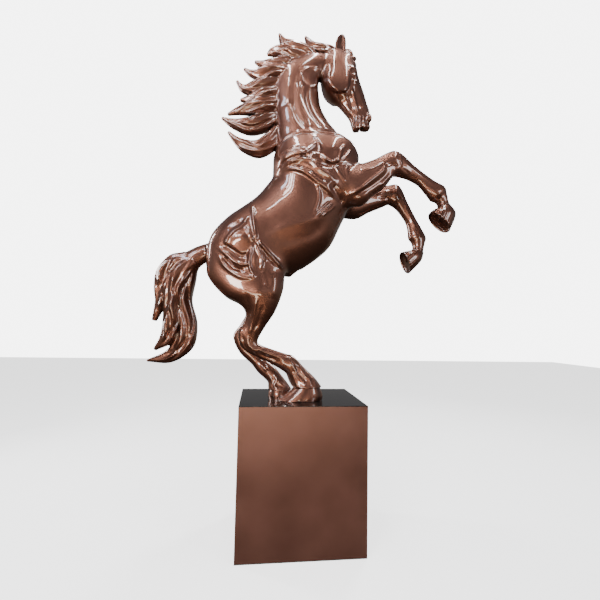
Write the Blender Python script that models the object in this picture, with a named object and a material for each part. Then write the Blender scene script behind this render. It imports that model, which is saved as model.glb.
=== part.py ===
"""A rearing horse cast in bronze, standing on its hind hooves on a tall sheet-metal plinth.

Units are metres and +Z is up. The horse faces +X and its right side faces -Y. The origin is the
centre of the plinth's underside. The castings are hollow shells that meet at welded seams, and
a steel armature carries the load through both hind legs to a plate inside the plinth.
"""
import math

import bmesh
import bpy
from mathutils import Vector

# Plinth
PLINTH_LENGTH = 0.86
PLINTH_DEPTH = 0.69
PLINTH_HEIGHT = 0.978
SKIN = 0.004
FLOOR_PLATE = 0.006
MOUNTING_PLATE = 0.012
POST_SIZE = 0.050
POST_WALL = 0.003
POST_INSET = 0.002

# Castings and armature
GAP = 0.0003
TRIM = 0.0004
WALL = 0.007
LOFT_STEPS = 2
TRUNK_SIDES = 16
NECK_SIDES = 14
HEAD_SIDES = 14
LIMB_SIDES = 12
TAIL_SIDES = 10
LOCK_SIDES = 8
MID_Y = -0.02
ROD_RADIUS = 0.014
ROD_CLEARANCE = 0.0004
SPINE_RADIUS = 0.024
SPINE_WALL = 0.004
YOKE_HEIGHT = 1.060
YOKE_X = -0.40
YOKE_HALF_LENGTH = 0.165
NUT_ACROSS = 0.042
NUT_THICKNESS = 0.022
WASHER_RADIUS = 0.028
WASHER_THICKNESS = 0.004

EAR_OFFSET = 0.066

# Each row of an outline is one cross-section: the front point and the back point of the
# outline as (x, height above the plinth), the section's centre in y, and half its width.
TRUNK = (
    ((-0.695, 0.930), (-0.700, 1.120), MID_Y, 0.100),
    ((-0.640, 0.850), (-0.660, 1.215), MID_Y, 0.185),
    ((-0.480, 0.835), (-0.560, 1.330), MID_Y, 0.232),
    ((-0.290, 0.860), (-0.450, 1.415), MID_Y, 0.245),
    ((-0.130, 0.900), (-0.355, 1.495), MID_Y, 0.238),
    ((0.000, 0.960), (-0.280, 1.590), MID_Y, 0.235),
    ((0.115, 1.040), (-0.240, 1.655), MID_Y, 0.240),
    ((0.215, 1.140), (-0.235, 1.735), MID_Y, 0.245),
    ((0.285, 1.285), (-0.230, 1.835), MID_Y, 0.240),
    ((0.365, 1.465), (-0.180, 1.940), MID_Y, 0.235),
    ((0.415, 1.635), (-0.050, 2.010), MID_Y, 0.220),
    ((0.440, 1.795), (0.145, 2.030), MID_Y, 0.180),
    ((0.425, 1.890), (0.295, 1.995), MID_Y, 0.100),
)
NECK = (
    ((0.290, 1.880), (-0.165, 1.790), MID_Y, 0.140),
    ((0.285, 1.950), (-0.218, 1.880), MID_Y, 0.160),
    ((0.260, 2.030), (-0.225, 1.975), MID_Y, 0.155),
    ((0.195, 2.110), (-0.225, 2.090), MID_Y, 0.130),
    ((0.130, 2.230), (-0.235, 2.240), MID_Y, 0.110),
    ((0.110, 2.350), (-0.235, 2.390), MID_Y, 0.098),
    ((0.105, 2.430), (-0.200, 2.510), MID_Y, 0.092),
    ((0.120, 2.480), (-0.120, 2.595), MID_Y, 0.088),
    ((0.155, 2.510), (0.000, 2.660), MID_Y, 0.084),
    ((0.195, 2.530), (0.110, 2.685), MID_Y, 0.076),
    ((0.240, 2.545), (0.215, 2.665), MID_Y, 0.060),
)
HEAD = (
    ((0.325, 2.722), (0.130, 2.680), MID_Y, 0.070),
    ((0.372, 2.685), (0.108, 2.550), MID_Y, 0.095),
    ((0.394, 2.612), (0.118, 2.445), MID_Y, 0.110),
    ((0.417, 2.532), (0.148, 2.360), MID_Y, 0.117),
    ((0.442, 2.460), (0.198, 2.305), MID_Y, 0.107),
    ((0.470, 2.395), (0.260, 2.265), MID_Y, 0.082),
    ((0.500, 2.310), (0.320, 2.220), MID_Y, 0.064),
    ((0.530, 2.235), (0.365, 2.165), MID_Y, 0.062),
    ((0.535, 2.160), (0.380, 2.110), MID_Y, 0.060),
    ((0.500, 2.095), (0.395, 2.075), MID_Y, 0.045),
)
FORE_RIGHT = (
    ((0.180, 1.670), (0.320, 1.400), -0.150, 0.080),
    ((0.290, 1.705), (0.415, 1.425), -0.170, 0.085),
    ((0.415, 1.745), (0.505, 1.500), -0.170, 0.080),
    ((0.520, 1.790), (0.600, 1.580), -0.165, 0.070),
    ((0.615, 1.845), (0.660, 1.655), -0.160, 0.068),
    ((0.675, 1.865), (0.685, 1.675), -0.155, 0.070),
    ((0.740, 1.845), (0.720, 1.675), -0.150, 0.065),
    ((0.820, 1.785), (0.800, 1.655), -0.145, 0.050),
    ((0.915, 1.720), (0.880, 1.615), -0.140, 0.042),
    ((1.000, 1.665), (0.940, 1.550), -0.140, 0.050),
    ((1.080, 1.625), (0.980, 1.510), -0.135, 0.058),
    ((1.105, 1.580), (1.015, 1.500), -0.130, 0.050),
    ((1.120, 1.505), (1.035, 1.482), -0.130, 0.048),
)
FORE_RIGHT_HOOF = (
    ((1.134, 1.476), (1.030, 1.460), -0.130, 0.060),
    ((1.170, 1.400), (0.995, 1.435), -0.130, 0.088),
    ((1.120, 1.270), (0.975, 1.415), -0.130, 0.095),
)
FORE_LEFT = (
    ((0.290, 1.680), (0.350, 1.390), 0.120, 0.080),
    ((0.400, 1.705), (0.460, 1.415), 0.140, 0.085),
    ((0.515, 1.705), (0.570, 1.475), 0.140, 0.075),
    ((0.630, 1.695), (0.670, 1.520), 0.135, 0.065),
    ((0.725, 1.710), (0.735, 1.550), 0.130, 0.062),
    ((0.800, 1.720), (0.765, 1.540), 0.125, 0.065),
    ((0.845, 1.680), (0.800, 1.515), 0.125, 0.058),
    ((0.890, 1.585), (0.840, 1.465), 0.120, 0.045),
    ((0.955, 1.460), (0.885, 1.395), 0.120, 0.042),
    ((1.010, 1.360), (0.900, 1.320), 0.115, 0.048),
    ((1.050, 1.280), (0.905, 1.270), 0.115, 0.055),
    ((1.040, 1.235), (0.930, 1.230), 0.110, 0.048),
    ((1.028, 1.180), (0.940, 1.190), 0.110, 0.046),
)
FORE_LEFT_HOOF = (
    ((1.026, 1.145), (0.928, 1.172), 0.110, 0.056),
    ((1.000, 1.075), (0.865, 1.155), 0.110, 0.080),
    ((0.905, 0.975), (0.840, 1.150), 0.110, 0.085),
)
HIND_RIGHT = (
    ((-0.250, 1.120), (-0.600, 1.020), -0.120, 0.080),
    ((-0.150, 0.995), (-0.690, 0.905), -0.142, 0.108),
    ((-0.140, 0.835), (-0.585, 0.750), -0.160, 0.122),
    ((-0.160, 0.730), (-0.460, 0.680), -0.165, 0.105),
    ((-0.205, 0.615), (-0.410, 0.615), -0.160, 0.085),
    ((-0.265, 0.520), (-0.420, 0.550), -0.150, 0.065),
    ((-0.315, 0.425), (-0.455, 0.465), -0.140, 0.055),
    ((-0.300, 0.390), (-0.415, 0.355), -0.135, 0.050),
    ((-0.205, 0.355), (-0.250, 0.270), -0.130, 0.043),
    ((-0.110, 0.325), (-0.150, 0.215), -0.125, 0.052),
    ((-0.060, 0.310), (-0.110, 0.185), -0.120, 0.058),
    ((0.015, 0.235), (-0.095, 0.150), -0.120, 0.060),
    ((0.100, 0.155), (-0.080, 0.115), -0.120, 0.076),
)
HIND_RIGHT_HOOF = (
    ((0.146, 0.092), (-0.052, 0.092), -0.120, 0.088),
    ((0.158, 0.045), (-0.110, 0.045), -0.120, 0.094),
    ((0.150, 0.0003), (-0.168, 0.0003), -0.120, 0.092),
)
HIND_LEFT = (
    ((-0.250, 1.120), (-0.600, 1.020), 0.080, 0.080),
    ((-0.150, 0.995), (-0.690, 0.905), 0.102, 0.108),
    ((-0.140, 0.835), (-0.585, 0.750), 0.120, 0.122),
    ((-0.165, 0.730), (-0.460, 0.680), 0.125, 0.105),
    ((-0.225, 0.615), (-0.415, 0.615), 0.122, 0.085),
    ((-0.310, 0.515), (-0.455, 0.530), 0.116, 0.065),
    ((-0.370, 0.420), (-0.505, 0.440), 0.110, 0.055),
    ((-0.345, 0.350), (-0.455, 0.320), 0.100, 0.050),
    ((-0.290, 0.290), (-0.360, 0.230), 0.090, 0.043),
    ((-0.225, 0.245), (-0.310, 0.170), 0.080, 0.050),
    ((-0.185, 0.215), (-0.270, 0.130), 0.075, 0.055),
    ((-0.120, 0.155), (-0.235, 0.110), 0.070, 0.058),
)
HIND_LEFT_HOOF = (
    ((-0.060, 0.088), (-0.214, 0.088), 0.065, 0.081),
    ((-0.040, 0.045), (-0.224, 0.045), 0.065, 0.086),
    ((-0.030, 0.0003), (-0.230, 0.0003), 0.065, 0.088),
)
TAIL_ROOT = (
    ((-0.640, 1.010), (-0.640, 1.140), MID_Y, 0.055),
    ((-0.715, 0.975), (-0.735, 1.120), MID_Y, 0.060),
    ((-0.785, 0.880), (-0.845, 1.070), MID_Y, 0.085),
    ((-0.815, 0.800), (-0.955, 1.015), MID_Y, 0.100),
)

# Locks of hair: (x, height, half depth, half width) along each lock, root first.
MANE_LOCKS = (
    ((0.275, 2.695, 0.040, 0.028), (0.190, 2.722, 0.045, 0.045), (0.075, 2.730, 0.050, 0.050),
     (-0.005, 2.820, 0.008, 0.010)),
    ((0.110, 2.690, 0.045, 0.045), (-0.005, 2.695, 0.055, 0.055), (-0.105, 2.730, 0.055, 0.045),
     (-0.210, 2.800, 0.010, 0.010)),
    ((0.015, 2.655, 0.045, 0.045), (-0.105, 2.660, 0.055, 0.060), (-0.220, 2.690, 0.050, 0.045),
     (-0.295, 2.650, 0.010, 0.012)),
    ((-0.065, 2.610, 0.045, 0.050), (-0.180, 2.580, 0.050, 0.055), (-0.300, 2.575, 0.040, 0.040),
     (-0.390, 2.570, 0.015, 0.015)),
    ((-0.145, 2.540, 0.045, 0.050), (-0.260, 2.500, 0.055, 0.060), (-0.370, 2.490, 0.050, 0.045),
     (-0.475, 2.488, 0.010, 0.012)),
    ((-0.180, 2.460, 0.045, 0.050), (-0.300, 2.405, 0.060, 0.065), (-0.430, 2.370, 0.045, 0.045),
     (-0.528, 2.400, 0.012, 0.014)),
    ((-0.200, 2.350, 0.045, 0.050), (-0.310, 2.305, 0.055, 0.060), (-0.410, 2.270, 0.045, 0.045),
     (-0.490, 2.245, 0.015, 0.020)),
    ((-0.200, 2.270, 0.045, 0.050), (-0.330, 2.200, 0.060, 0.065), (-0.460, 2.165, 0.045, 0.045),
     (-0.585, 2.130, 0.010, 0.012)),
    ((-0.200, 2.180, 0.050, 0.055), (-0.290, 2.105, 0.070, 0.070), (-0.420, 2.055, 0.065, 0.055),
     (-0.540, 2.075, 0.035, 0.030), (-0.630, 2.100, 0.008, 0.010)),
    ((-0.190, 2.040, 0.050, 0.055), (-0.265, 1.925, 0.065, 0.065), (-0.355, 1.855, 0.065, 0.055),
     (-0.465, 1.885, 0.050, 0.040), (-0.575, 1.975, 0.008, 0.010)),
)
# Two points on the parting between each lock and the next one down the neck.
MANE_PARTINGS = (
    ((0.120, 2.715), (-0.040, 2.765)),
    ((-0.020, 2.668), (-0.200, 2.735)),
    ((-0.100, 2.625), (-0.330, 2.615)),
    ((-0.150, 2.562), (-0.420, 2.532)),
    ((-0.200, 2.480), (-0.490, 2.446)),
    ((-0.220, 2.390), (-0.480, 2.325)),
    ((-0.220, 2.305), (-0.520, 2.200)),
    ((-0.220, 2.215), (-0.600, 2.115)),
    ((-0.220, 2.075), (-0.600, 1.990)),
)
SHEATH = (
    (0.010, 0.985, 0.022, 0.022), (-0.030, 0.957, 0.040, 0.040), (-0.075, 0.932, 0.042, 0.046),
    (-0.115, 0.925, 0.020, 0.028),
)
# The tail's locks: (x, y, height, half depth, half width), root first.
TAIL_REAR = (
    (-0.935, -0.030, 0.975, 0.055, 0.060), (-1.002, -0.036, 0.890, 0.056, 0.062),
    (-1.018, -0.040, 0.790, 0.048, 0.060),
    (-1.015, -0.045, 0.690, 0.040, 0.050), (-1.045, -0.050, 0.565, 0.014, 0.018),
)
TAIL_MIDDLE = (
    (-0.880, -0.040, 0.900, 0.070, 0.080), (-0.935, -0.050, 0.700, 0.060, 0.080),
    (-0.935, -0.050, 0.545, 0.060, 0.075), (-0.970, -0.050, 0.415, 0.050, 0.060),
    (-1.045, -0.050, 0.345, 0.015, 0.020),
)
TAIL_FRONT = (
    (-0.835, -0.020, 0.860, 0.060, 0.080), (-0.860, -0.010, 0.690, 0.055, 0.080),
    (-0.830, -0.010, 0.525, 0.070, 0.075), (-0.855, -0.010, 0.390, 0.080, 0.075),
    (-0.950, -0.010, 0.290, 0.050, 0.055), (-1.105, -0.020, 0.258, 0.012, 0.015),
)


def clear_scene():
    for item in list(bpy.data.objects):
        bpy.data.objects.remove(item, do_unlink=True)


def make_material(name, colour, roughness, metallic=1.0):
    material = bpy.data.materials.new(name)
    material.use_nodes = True
    shader = material.node_tree.nodes["Principled BSDF"]
    shader.inputs["Base Color"].default_value = (*colour, 1.0)
    shader.inputs["Roughness"].default_value = roughness
    shader.inputs["Metallic"].default_value = metallic
    return material


def add_object(name, bm, material, parent=None):
    """Turn a bmesh into a named object with outward faces."""
    bmesh.ops.triangulate(bm, faces=bm.faces[:])
    bmesh.ops.recalc_face_normals(bm, faces=bm.faces[:])
    mesh = bpy.data.meshes.new(name)
    bm.to_mesh(mesh)
    bm.free()
    item = bpy.data.objects.new(name, mesh)
    bpy.context.collection.objects.link(item)
    if material is not None:
        mesh.materials.append(material)
    item.parent = parent
    return item


def add_cutter(name, bm, parent=None):
    cutter = add_object(name, bm, None, parent)
    cutter.hide_render = True
    cutter.display_type = "WIRE"
    return cutter


def cut(item, *cutters):
    for cutter in cutters:
        modifier = item.modifiers.new("cut_" + cutter.name, "BOOLEAN")
        modifier.operation = "DIFFERENCE"
        modifier.solver = "EXACT"
        modifier.object = cutter


# Lofted outlines

def flatten(row):
    (front_x, front_z), (back_x, back_z), y, half_width = row
    return (front_x, front_z, back_x, back_z, y, half_width)


def blend(first, second, share):
    return tuple(a + (b - a) * share for a, b in zip(first, second))


def smooth_rows(rows, steps):
    """Catmull-Rom interpolation: row i of the input is row i * steps of the result."""
    flat = [flatten(row) for row in rows]
    result = []
    for index in range(len(flat) - 1):
        before = flat[max(index - 1, 0)]
        start = flat[index]
        end = flat[index + 1]
        after = flat[min(index + 2, len(flat) - 1)]
        for step in range(steps):
            t = step / steps
            result.append(tuple(
                0.5 * (2 * b + (c - a) * t + (2 * a - 5 * b + 4 * c - d) * t * t
                       + (3 * b - a - 3 * c + d) * t ** 3)
                for a, b, c, d in zip(before, start, end, after)))
    result.append(flat[-1])
    return result


def move_end(rows, distance):
    """Move the last row at least this far: away from its neighbour, or back if negative."""
    last = rows[-1]
    inner = rows[-2]
    step = min(math.dist(last[0:2], inner[0:2]), math.dist(last[2:4], inner[2:4]))
    share = -distance / max(step, abs(distance) * 2)
    return rows[:-1] + [blend(last, inner, share)]


def move_both_ends(rows, distance):
    return move_end(move_end(rows, distance)[::-1], distance)[::-1]


def ring_points(row, sides, grow=0.0):
    front = Vector((row[0], row[4], row[1]))
    back = Vector((row[2], row[4], row[3]))
    centre = (front + back) / 2
    reach = (front - back) / 2
    reach = reach * ((reach.length + grow) / reach.length)
    side = Vector((0, row[5] + grow, 0))
    turns = [2 * math.pi * (step + 0.5) / sides for step in range(sides)]
    return [centre + reach * math.cos(turn) + side * math.sin(turn) for turn in turns]


def add_skin(bm, rows, sides, grow=0.0):
    rings = [[bm.verts.new(point) for point in ring_points(row, sides, grow)] for row in rows]
    for lower, upper in zip(rings, rings[1:]):
        for side in range(sides):
            after = (side + 1) % sides
            bm.faces.new((lower[side], lower[after], upper[after], upper[side]))
    return rings


def join_rims(bm, outer, inner):
    count = len(outer)
    for side in range(count):
        after = (side + 1) % count
        bm.faces.new((outer[side], outer[after], inner[after], inner[side]))


def solid_mesh(rows, sides, grow=0.0):
    bm = bmesh.new()
    rings = add_skin(bm, rows, sides, grow)
    bm.faces.new(rings[0])
    bm.faces.new(rings[-1])
    return bm


def fitted_cutter(name, rows, sides, parent):
    """A solid a little larger all round than the casting that fits into its cut."""
    return add_cutter(name, solid_mesh(move_both_ends(rows, TRIM), sides, TRIM), parent)


def shell_mesh(rows, sides, wall=WALL, closed_start=0, closed_end=0):
    """Hollow casting. A closed end is solid for the given number of rows."""
    bm = bmesh.new()
    outer = add_skin(bm, rows, sides)
    inner = add_skin(bm, rows[closed_start:len(rows) - closed_end], sides, -wall)
    if closed_start:
        bm.faces.new(outer[0])
        bm.faces.new(inner[0])
    else:
        join_rims(bm, outer[0], inner[0])
    if closed_end:
        bm.faces.new(outer[-1])
        bm.faces.new(inner[-1])
    else:
        join_rims(bm, outer[-1], inner[-1])
    return bm


def section(rows, first, last):
    """Rows of one casting, pulled back half a seam gap from each neighbour."""
    part = rows[first:last + 1]
    if last < len(rows) - 1:
        part = move_end(part, -GAP / 2)
    if first > 0:
        part = move_end(part[::-1], -GAP / 2)[::-1]
    return part


def lock_rows(points, y=None):
    """Rows across a lock of hair, each square to the lock's path."""
    rows = []
    for index, point in enumerate(points):
        if y is None:
            x, across, z, depth, width = point
        else:
            x, z, depth, width = point
            across = y
        before = points[max(index - 1, 0)]
        after = points[min(index + 1, len(points) - 1)]
        height = 2 if y is None else 1
        along = Vector((after[0] - before[0], after[height] - before[height])).normalized()
        normal = Vector((-along.y, along.x)) * depth
        rows.append(((x + normal.x, z + normal.y), (x - normal.x, z - normal.y), across, width))
    return rows


def trim_plane(bm, start, end, keep_above):
    """Cut a solid at the parting through two points and close the cut."""
    along = Vector((end[0] - start[0], 0, end[1] - start[1])).normalized()
    normal = Vector((along.z, 0, -along.x))
    side = normal if keep_above else -normal
    place = Vector((start[0], 0, start[1])) + side * (GAP / 2)
    geometry = bm.verts[:] + bm.edges[:] + bm.faces[:]
    result = bmesh.ops.bisect_plane(bm, geom=geometry, plane_co=place, plane_no=-side,
                                    clear_outer=True)
    edges = [part for part in result["geom_cut"] if isinstance(part, bmesh.types.BMEdge)]
    if edges:
        bmesh.ops.contextual_create(bm, geom=edges)


# Plinth

def box_mesh(low, high):
    bm = bmesh.new()
    bmesh.ops.create_cube(bm, size=1.0)
    for vert in bm.verts:
        for axis in range(3):
            vert.co[axis] = high[axis] if vert.co[axis] > 0 else low[axis]
    return bm


def build_plinth(skin, steel):
    half_x = PLINTH_LENGTH / 2
    half_y = PLINTH_DEPTH / 2
    skin_low = FLOOR_PLATE + GAP
    skin_high = PLINTH_HEIGHT - SKIN - GAP
    add_object("plinth_floor_plate",
               box_mesh((-half_x, -half_y, 0), (half_x, half_y, FLOOR_PLATE)), steel)
    for name, side in (("front", -1), ("back", 1)):
        near = side * (half_y - SKIN)
        far = side * half_y
        low = (-half_x, min(near, far), skin_low)
        high = (half_x, max(near, far), skin_high)
        add_object("plinth_panel_" + name, box_mesh(low, high), skin)
    reach = half_y - SKIN - GAP
    for name, side in (("left_end", -1), ("right_end", 1)):
        near = side * (half_x - SKIN)
        far = side * half_x
        low = (min(near, far), -reach, skin_low)
        high = (max(near, far), reach, skin_high)
        add_object("plinth_panel_" + name, box_mesh(low, high), skin)
    build_posts(skin_low, skin_high - MOUNTING_PLATE - GAP, steel)
    inset = SKIN + POST_INSET
    plate = add_object("mounting_plate", box_mesh(
        (inset - half_x, inset - half_y, skin_high - MOUNTING_PLATE),
        (half_x - inset, half_y - inset, skin_high)), steel)
    top = add_object("plinth_top_plate", box_mesh(
        (-half_x, -half_y, PLINTH_HEIGHT - SKIN), (half_x, half_y, PLINTH_HEIGHT)), skin)
    return plate, top


def build_posts(low, high, steel):
    """Square tubes in the four corners, open at both ends."""
    offset_x = PLINTH_LENGTH / 2 - SKIN - POST_INSET - POST_SIZE / 2
    offset_y = PLINTH_DEPTH / 2 - SKIN - POST_INSET - POST_SIZE / 2
    corners = (("front_left", -1, -1), ("front_right", 1, -1),
               ("back_left", -1, 1), ("back_right", 1, 1))
    for name, side_x, side_y in corners:
        bm = bmesh.new()
        loops = []
        for z in (low, high):
            for half in (POST_SIZE / 2, POST_SIZE / 2 - POST_WALL):
                square = ((-half, -half), (half, -half), (half, half), (-half, half))
                loops.append([bm.verts.new((x, y, z)) for x, y in square])
        outer_low, inner_low, outer_high, inner_high = loops
        join_rims(bm, outer_low, outer_high)
        join_rims(bm, inner_low, inner_high)
        join_rims(bm, outer_low, inner_low)
        join_rims(bm, outer_high, inner_high)
        post = add_object("plinth_post_" + name, bm, steel)
        post.location = (side_x * offset_x, side_y * offset_y, 0)


# Armature

def cylinder_mesh(radius, low, high, sides=16):
    bm = bmesh.new()
    bmesh.ops.create_cone(bm, cap_ends=True, segments=sides, radius1=radius, radius2=radius,
                          depth=high - low)
    bmesh.ops.translate(bm, verts=bm.verts[:], vec=(0, 0, (low + high) / 2))
    return bm


def rod(name, points, radius, material, parent):
    curve = bpy.data.curves.new(name, "CURVE")
    curve.dimensions = "3D"
    curve.bevel_depth = radius
    curve.bevel_resolution = 3
    curve.use_fill_caps = True
    spline = curve.splines.new("POLY")
    spline.points.add(len(points) - 1)
    for place, point in zip(spline.points, points):
        place.co = (*point, 1.0)
    curve.materials.append(material)
    item = bpy.data.objects.new(name, curve)
    bpy.context.collection.objects.link(item)
    item.parent = parent
    return item


def rod_path(rows, foot, first):
    """Down the middle of a leg from the yoke, then straight down through the hoof."""
    top = YOKE_HEIGHT - SPINE_RADIUS - GAP
    hip_y = (rows[2][2] + rows[3][2]) / 2
    points = [(YOKE_X, hip_y, top), (YOKE_X, hip_y, 0.80)]
    for (front_x, front_z), (back_x, back_z), y, _ in rows[first:-2]:
        points.append(((front_x + back_x) / 2, y, (front_z + back_z) / 2))
    points.append((*foot, 0.120))
    points.append((*foot, -0.052))
    return points


def build_armature(horse, steel, hindquarters, hooves, plate, top):
    feet = ((0.035, HIND_RIGHT_HOOF[0][2]), (-0.135, HIND_LEFT_HOOF[0][2]))
    limbs = (("right", HIND_RIGHT, feet[0]), ("left", HIND_LEFT, feet[1]))
    for (side, rows, foot), hoof in zip(limbs, hooves):
        path = rod_path(rows, foot, 4)
        rod("armature_leg_" + side, path, ROD_RADIUS, steel, horse)
        hip = add_cutter("hip_bore_" + side,
                         cylinder_mesh(ROD_RADIUS + ROD_CLEARANCE, 0.76, 1.02), horse)
        hip.location = (path[0][0], path[0][1], 0)
        cut(hindquarters, hip)
        bore = add_cutter("foot_bore_" + side,
                          cylinder_mesh(ROD_RADIUS + ROD_CLEARANCE, -0.060, 0.115), horse)
        bore.location = (*foot, 0)
        cut(hoof, bore)
        cut(plate, bore)
        cut(top, bore)
    yoke = across_tube(MID_Y - YOKE_HALF_LENGTH, MID_Y + YOKE_HALF_LENGTH)
    add_object("armature_yoke", yoke, steel, horse)
    spine = (
        (-0.378, 1.094), (-0.250, 1.200), (-0.130, 1.290), (-0.010, 1.440), (0.080, 1.640),
        (0.060, 1.850), (0.010, 2.050), (-0.045, 2.235), (-0.060, 2.380), (-0.020, 2.520),
    )
    points = [(x, z, SPINE_RADIUS, SPINE_RADIUS) for x, z in spine]
    rows = smooth_rows(lock_rows(points, MID_Y), LOFT_STEPS)
    add_object("armature_spine", shell_mesh(rows, 8, SPINE_WALL), steel, horse)
    build_fasteners(feet, steel)


def across_tube(low_y, high_y):
    """The yoke's tube along Y, open at both ends."""
    bm = bmesh.new()
    loops = []
    for y in (low_y, high_y):
        for radius in (SPINE_RADIUS, SPINE_RADIUS - SPINE_WALL):
            turns = [2 * math.pi * step / 16 for step in range(16)]
            loops.append([bm.verts.new((YOKE_X + radius * math.cos(turn), y,
                                        YOKE_HEIGHT + radius * math.sin(turn)))
                          for turn in turns])
    join_rims(bm, loops[0], loops[2])
    join_rims(bm, loops[1], loops[3])
    join_rims(bm, loops[0], loops[1])
    join_rims(bm, loops[2], loops[3])
    return bm


def add_collar(bm, centre, outer, inner, sides, low, high):
    """A ring-shaped solid: a washer, or a nut when it has six sides."""
    loops = []
    for z in (low, high):
        for radius in (outer, inner):
            turns = [2 * math.pi * step / sides for step in range(sides)]
            loops.append([bm.verts.new((centre[0] + radius * math.cos(turn),
                                        centre[1] + radius * math.sin(turn), z))
                          for turn in turns])
    join_rims(bm, loops[0], loops[2])
    join_rims(bm, loops[1], loops[3])
    join_rims(bm, loops[0], loops[1])
    join_rims(bm, loops[2], loops[3])


def build_fasteners(feet, steel):
    """One washer and one nut on each rod, under the mounting plate."""
    under = PLINTH_HEIGHT - SKIN - GAP - MOUNTING_PLATE - GAP
    inner = ROD_RADIUS + ROD_CLEARANCE
    for side, foot in zip(("right", "left"), feet):
        washer = bmesh.new()
        add_collar(washer, foot, WASHER_RADIUS, inner, 24, under - WASHER_THICKNESS, under)
        add_object("armature_washer_" + side, washer, steel)
        nut = bmesh.new()
        high = under - WASHER_THICKNESS - GAP
        # The bore's radius is measured to the flats, so it clears the round rod.
        add_collar(nut, foot, NUT_ACROSS / math.sqrt(3), inner / math.cos(math.pi / 6), 6,
                   high - NUT_THICKNESS, high)
        add_object("armature_nut_" + side, nut, steel)


# Horse

def build_body(horse, bronze):
    """Trunk, neck and head, with the cutters that shape whatever meets them."""
    trunk = smooth_rows(TRUNK, LOFT_STEPS)
    neck = smooth_rows(NECK, LOFT_STEPS)
    head = smooth_rows(HEAD, LOFT_STEPS)
    cutters = {
        "trunk": fitted_cutter("trunk_cutter", trunk, TRUNK_SIDES, horse),
        "neck": fitted_cutter("neck_cutter", neck, NECK_SIDES, horse),
        "head": fitted_cutter("head_cutter", head, HEAD_SIDES, horse),
    }
    hip_seam = 4 * LOFT_STEPS
    shoulder_seam = 8 * LOFT_STEPS
    rear = section(trunk, 0, hip_seam)
    hindquarters = add_object("hindquarters", shell_mesh(rear, TRUNK_SIDES, closed_start=1),
                              bronze, horse)
    middle = section(trunk, hip_seam, shoulder_seam)
    barrel = add_object("barrel", shell_mesh(middle, TRUNK_SIDES), bronze, horse)
    front = section(trunk, shoulder_seam, len(trunk) - 1)
    chest = add_object("chest", shell_mesh(front, TRUNK_SIDES, closed_end=1), bronze, horse)
    cut(chest, cutters["neck"])
    add_object("neck", shell_mesh(neck, NECK_SIDES), bronze, horse)
    skull = add_object("head", shell_mesh(head, HEAD_SIDES, closed_start=1, closed_end=2),
                       bronze, horse)
    cut(skull, cutters["neck"])
    sheath_rows = smooth_rows(lock_rows(SHEATH, MID_Y), LOFT_STEPS)
    sheath = add_object("sheath", solid_mesh(sheath_rows, LOCK_SIDES), bronze, horse)
    cut(sheath, cutters["trunk"])
    return hindquarters, cutters


def build_limb(names, side, rows, upper_end, hoof_rows, bronze, horse, trunk_cutter):
    """Upper leg, lower leg and hoof of one limb. The upper leg is fitted to the trunk."""
    smooth = smooth_rows(rows + hoof_rows[:1], LOFT_STEPS)
    split = upper_end * LOFT_STEPS
    upper_name, lower_name, hoof_name = names
    upper = add_object(upper_name + "_" + side,
                       shell_mesh(section(smooth, 0, split), LIMB_SIDES), bronze, horse)
    cut(upper, trunk_cutter)
    lower = move_end(section(smooth, split, len(smooth) - 1), -GAP)
    add_object(lower_name + "_" + side, shell_mesh(lower, LIMB_SIDES), bronze, horse)
    hoof = solid_mesh(smooth_rows(hoof_rows, LOFT_STEPS), LIMB_SIDES)
    return add_object(hoof_name + "_" + side, hoof, bronze, horse)


def build_head_details(horse, bronze, cutters):
    for side, y in (("right", MID_Y - EAR_OFFSET), ("left", MID_Y + EAR_OFFSET)):
        rows = (
            ((0.318, 2.650), (0.255, 2.645), y, 0.020),
            ((0.315, 2.730), (0.260, 2.728), y * 1.05, 0.023),
            ((0.300, 2.776), (0.271, 2.776), y * 1.08, 0.014),
            ((0.289, 2.806), (0.283, 2.806), y * 1.10, 0.004),
        )
        ear = add_object("ear_" + side, solid_mesh(smooth_rows(rows, LOFT_STEPS), 8),
                         bronze, horse)
        cut(ear, cutters["head"])
    rows = (
        ((0.366, 2.728), (0.320, 2.684), MID_Y, 0.036),
        ((0.404, 2.668), (0.352, 2.648), MID_Y, 0.050),
        ((0.415, 2.600), (0.370, 2.590), MID_Y, 0.034),
        ((0.426, 2.535), (0.412, 2.532), MID_Y, 0.008),
    )
    forelock = add_object("forelock", solid_mesh(smooth_rows(rows, LOFT_STEPS), LOCK_SIDES),
                          bronze, horse)
    cut(forelock, cutters["head"])


def build_mane(horse, bronze, cutters):
    for index, points in enumerate(MANE_LOCKS):
        bm = solid_mesh(smooth_rows(lock_rows(points, MID_Y), LOFT_STEPS + 1), LOCK_SIDES)
        if index > 0:
            trim_plane(bm, *MANE_PARTINGS[index - 1], keep_above=False)
        if index < len(MANE_PARTINGS):
            trim_plane(bm, *MANE_PARTINGS[index], keep_above=True)
        lock = add_object("mane_lock_%02d" % (index + 1), bm, bronze, horse)
        cut(lock, cutters["neck"])
        if index < 2:
            cut(lock, cutters["head"])
        if index > 7:
            cut(lock, cutters["trunk"])


def build_tail(horse, bronze, trunk_cutter):
    """A root casting and three hollow locks, each fitted to the ones before it."""
    root_rows = smooth_rows(TAIL_ROOT, LOFT_STEPS)
    root = add_object("tail_root", shell_mesh(root_rows, TAIL_SIDES), bronze, horse)
    cut(root, trunk_cutter)
    earlier = [fitted_cutter("tail_root_cutter", root_rows, TAIL_SIDES, horse)]
    for name, points in (("middle", TAIL_MIDDLE), ("front", TAIL_FRONT), ("rear", TAIL_REAR)):
        rows = smooth_rows(lock_rows(points), LOFT_STEPS)
        lock = add_object("tail_lock_" + name, shell_mesh(rows, TAIL_SIDES, closed_end=2),
                          bronze, horse)
        cut(lock, *earlier)
        earlier.append(fitted_cutter("tail_%s_cutter" % name, rows, TAIL_SIDES, horse))


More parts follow.
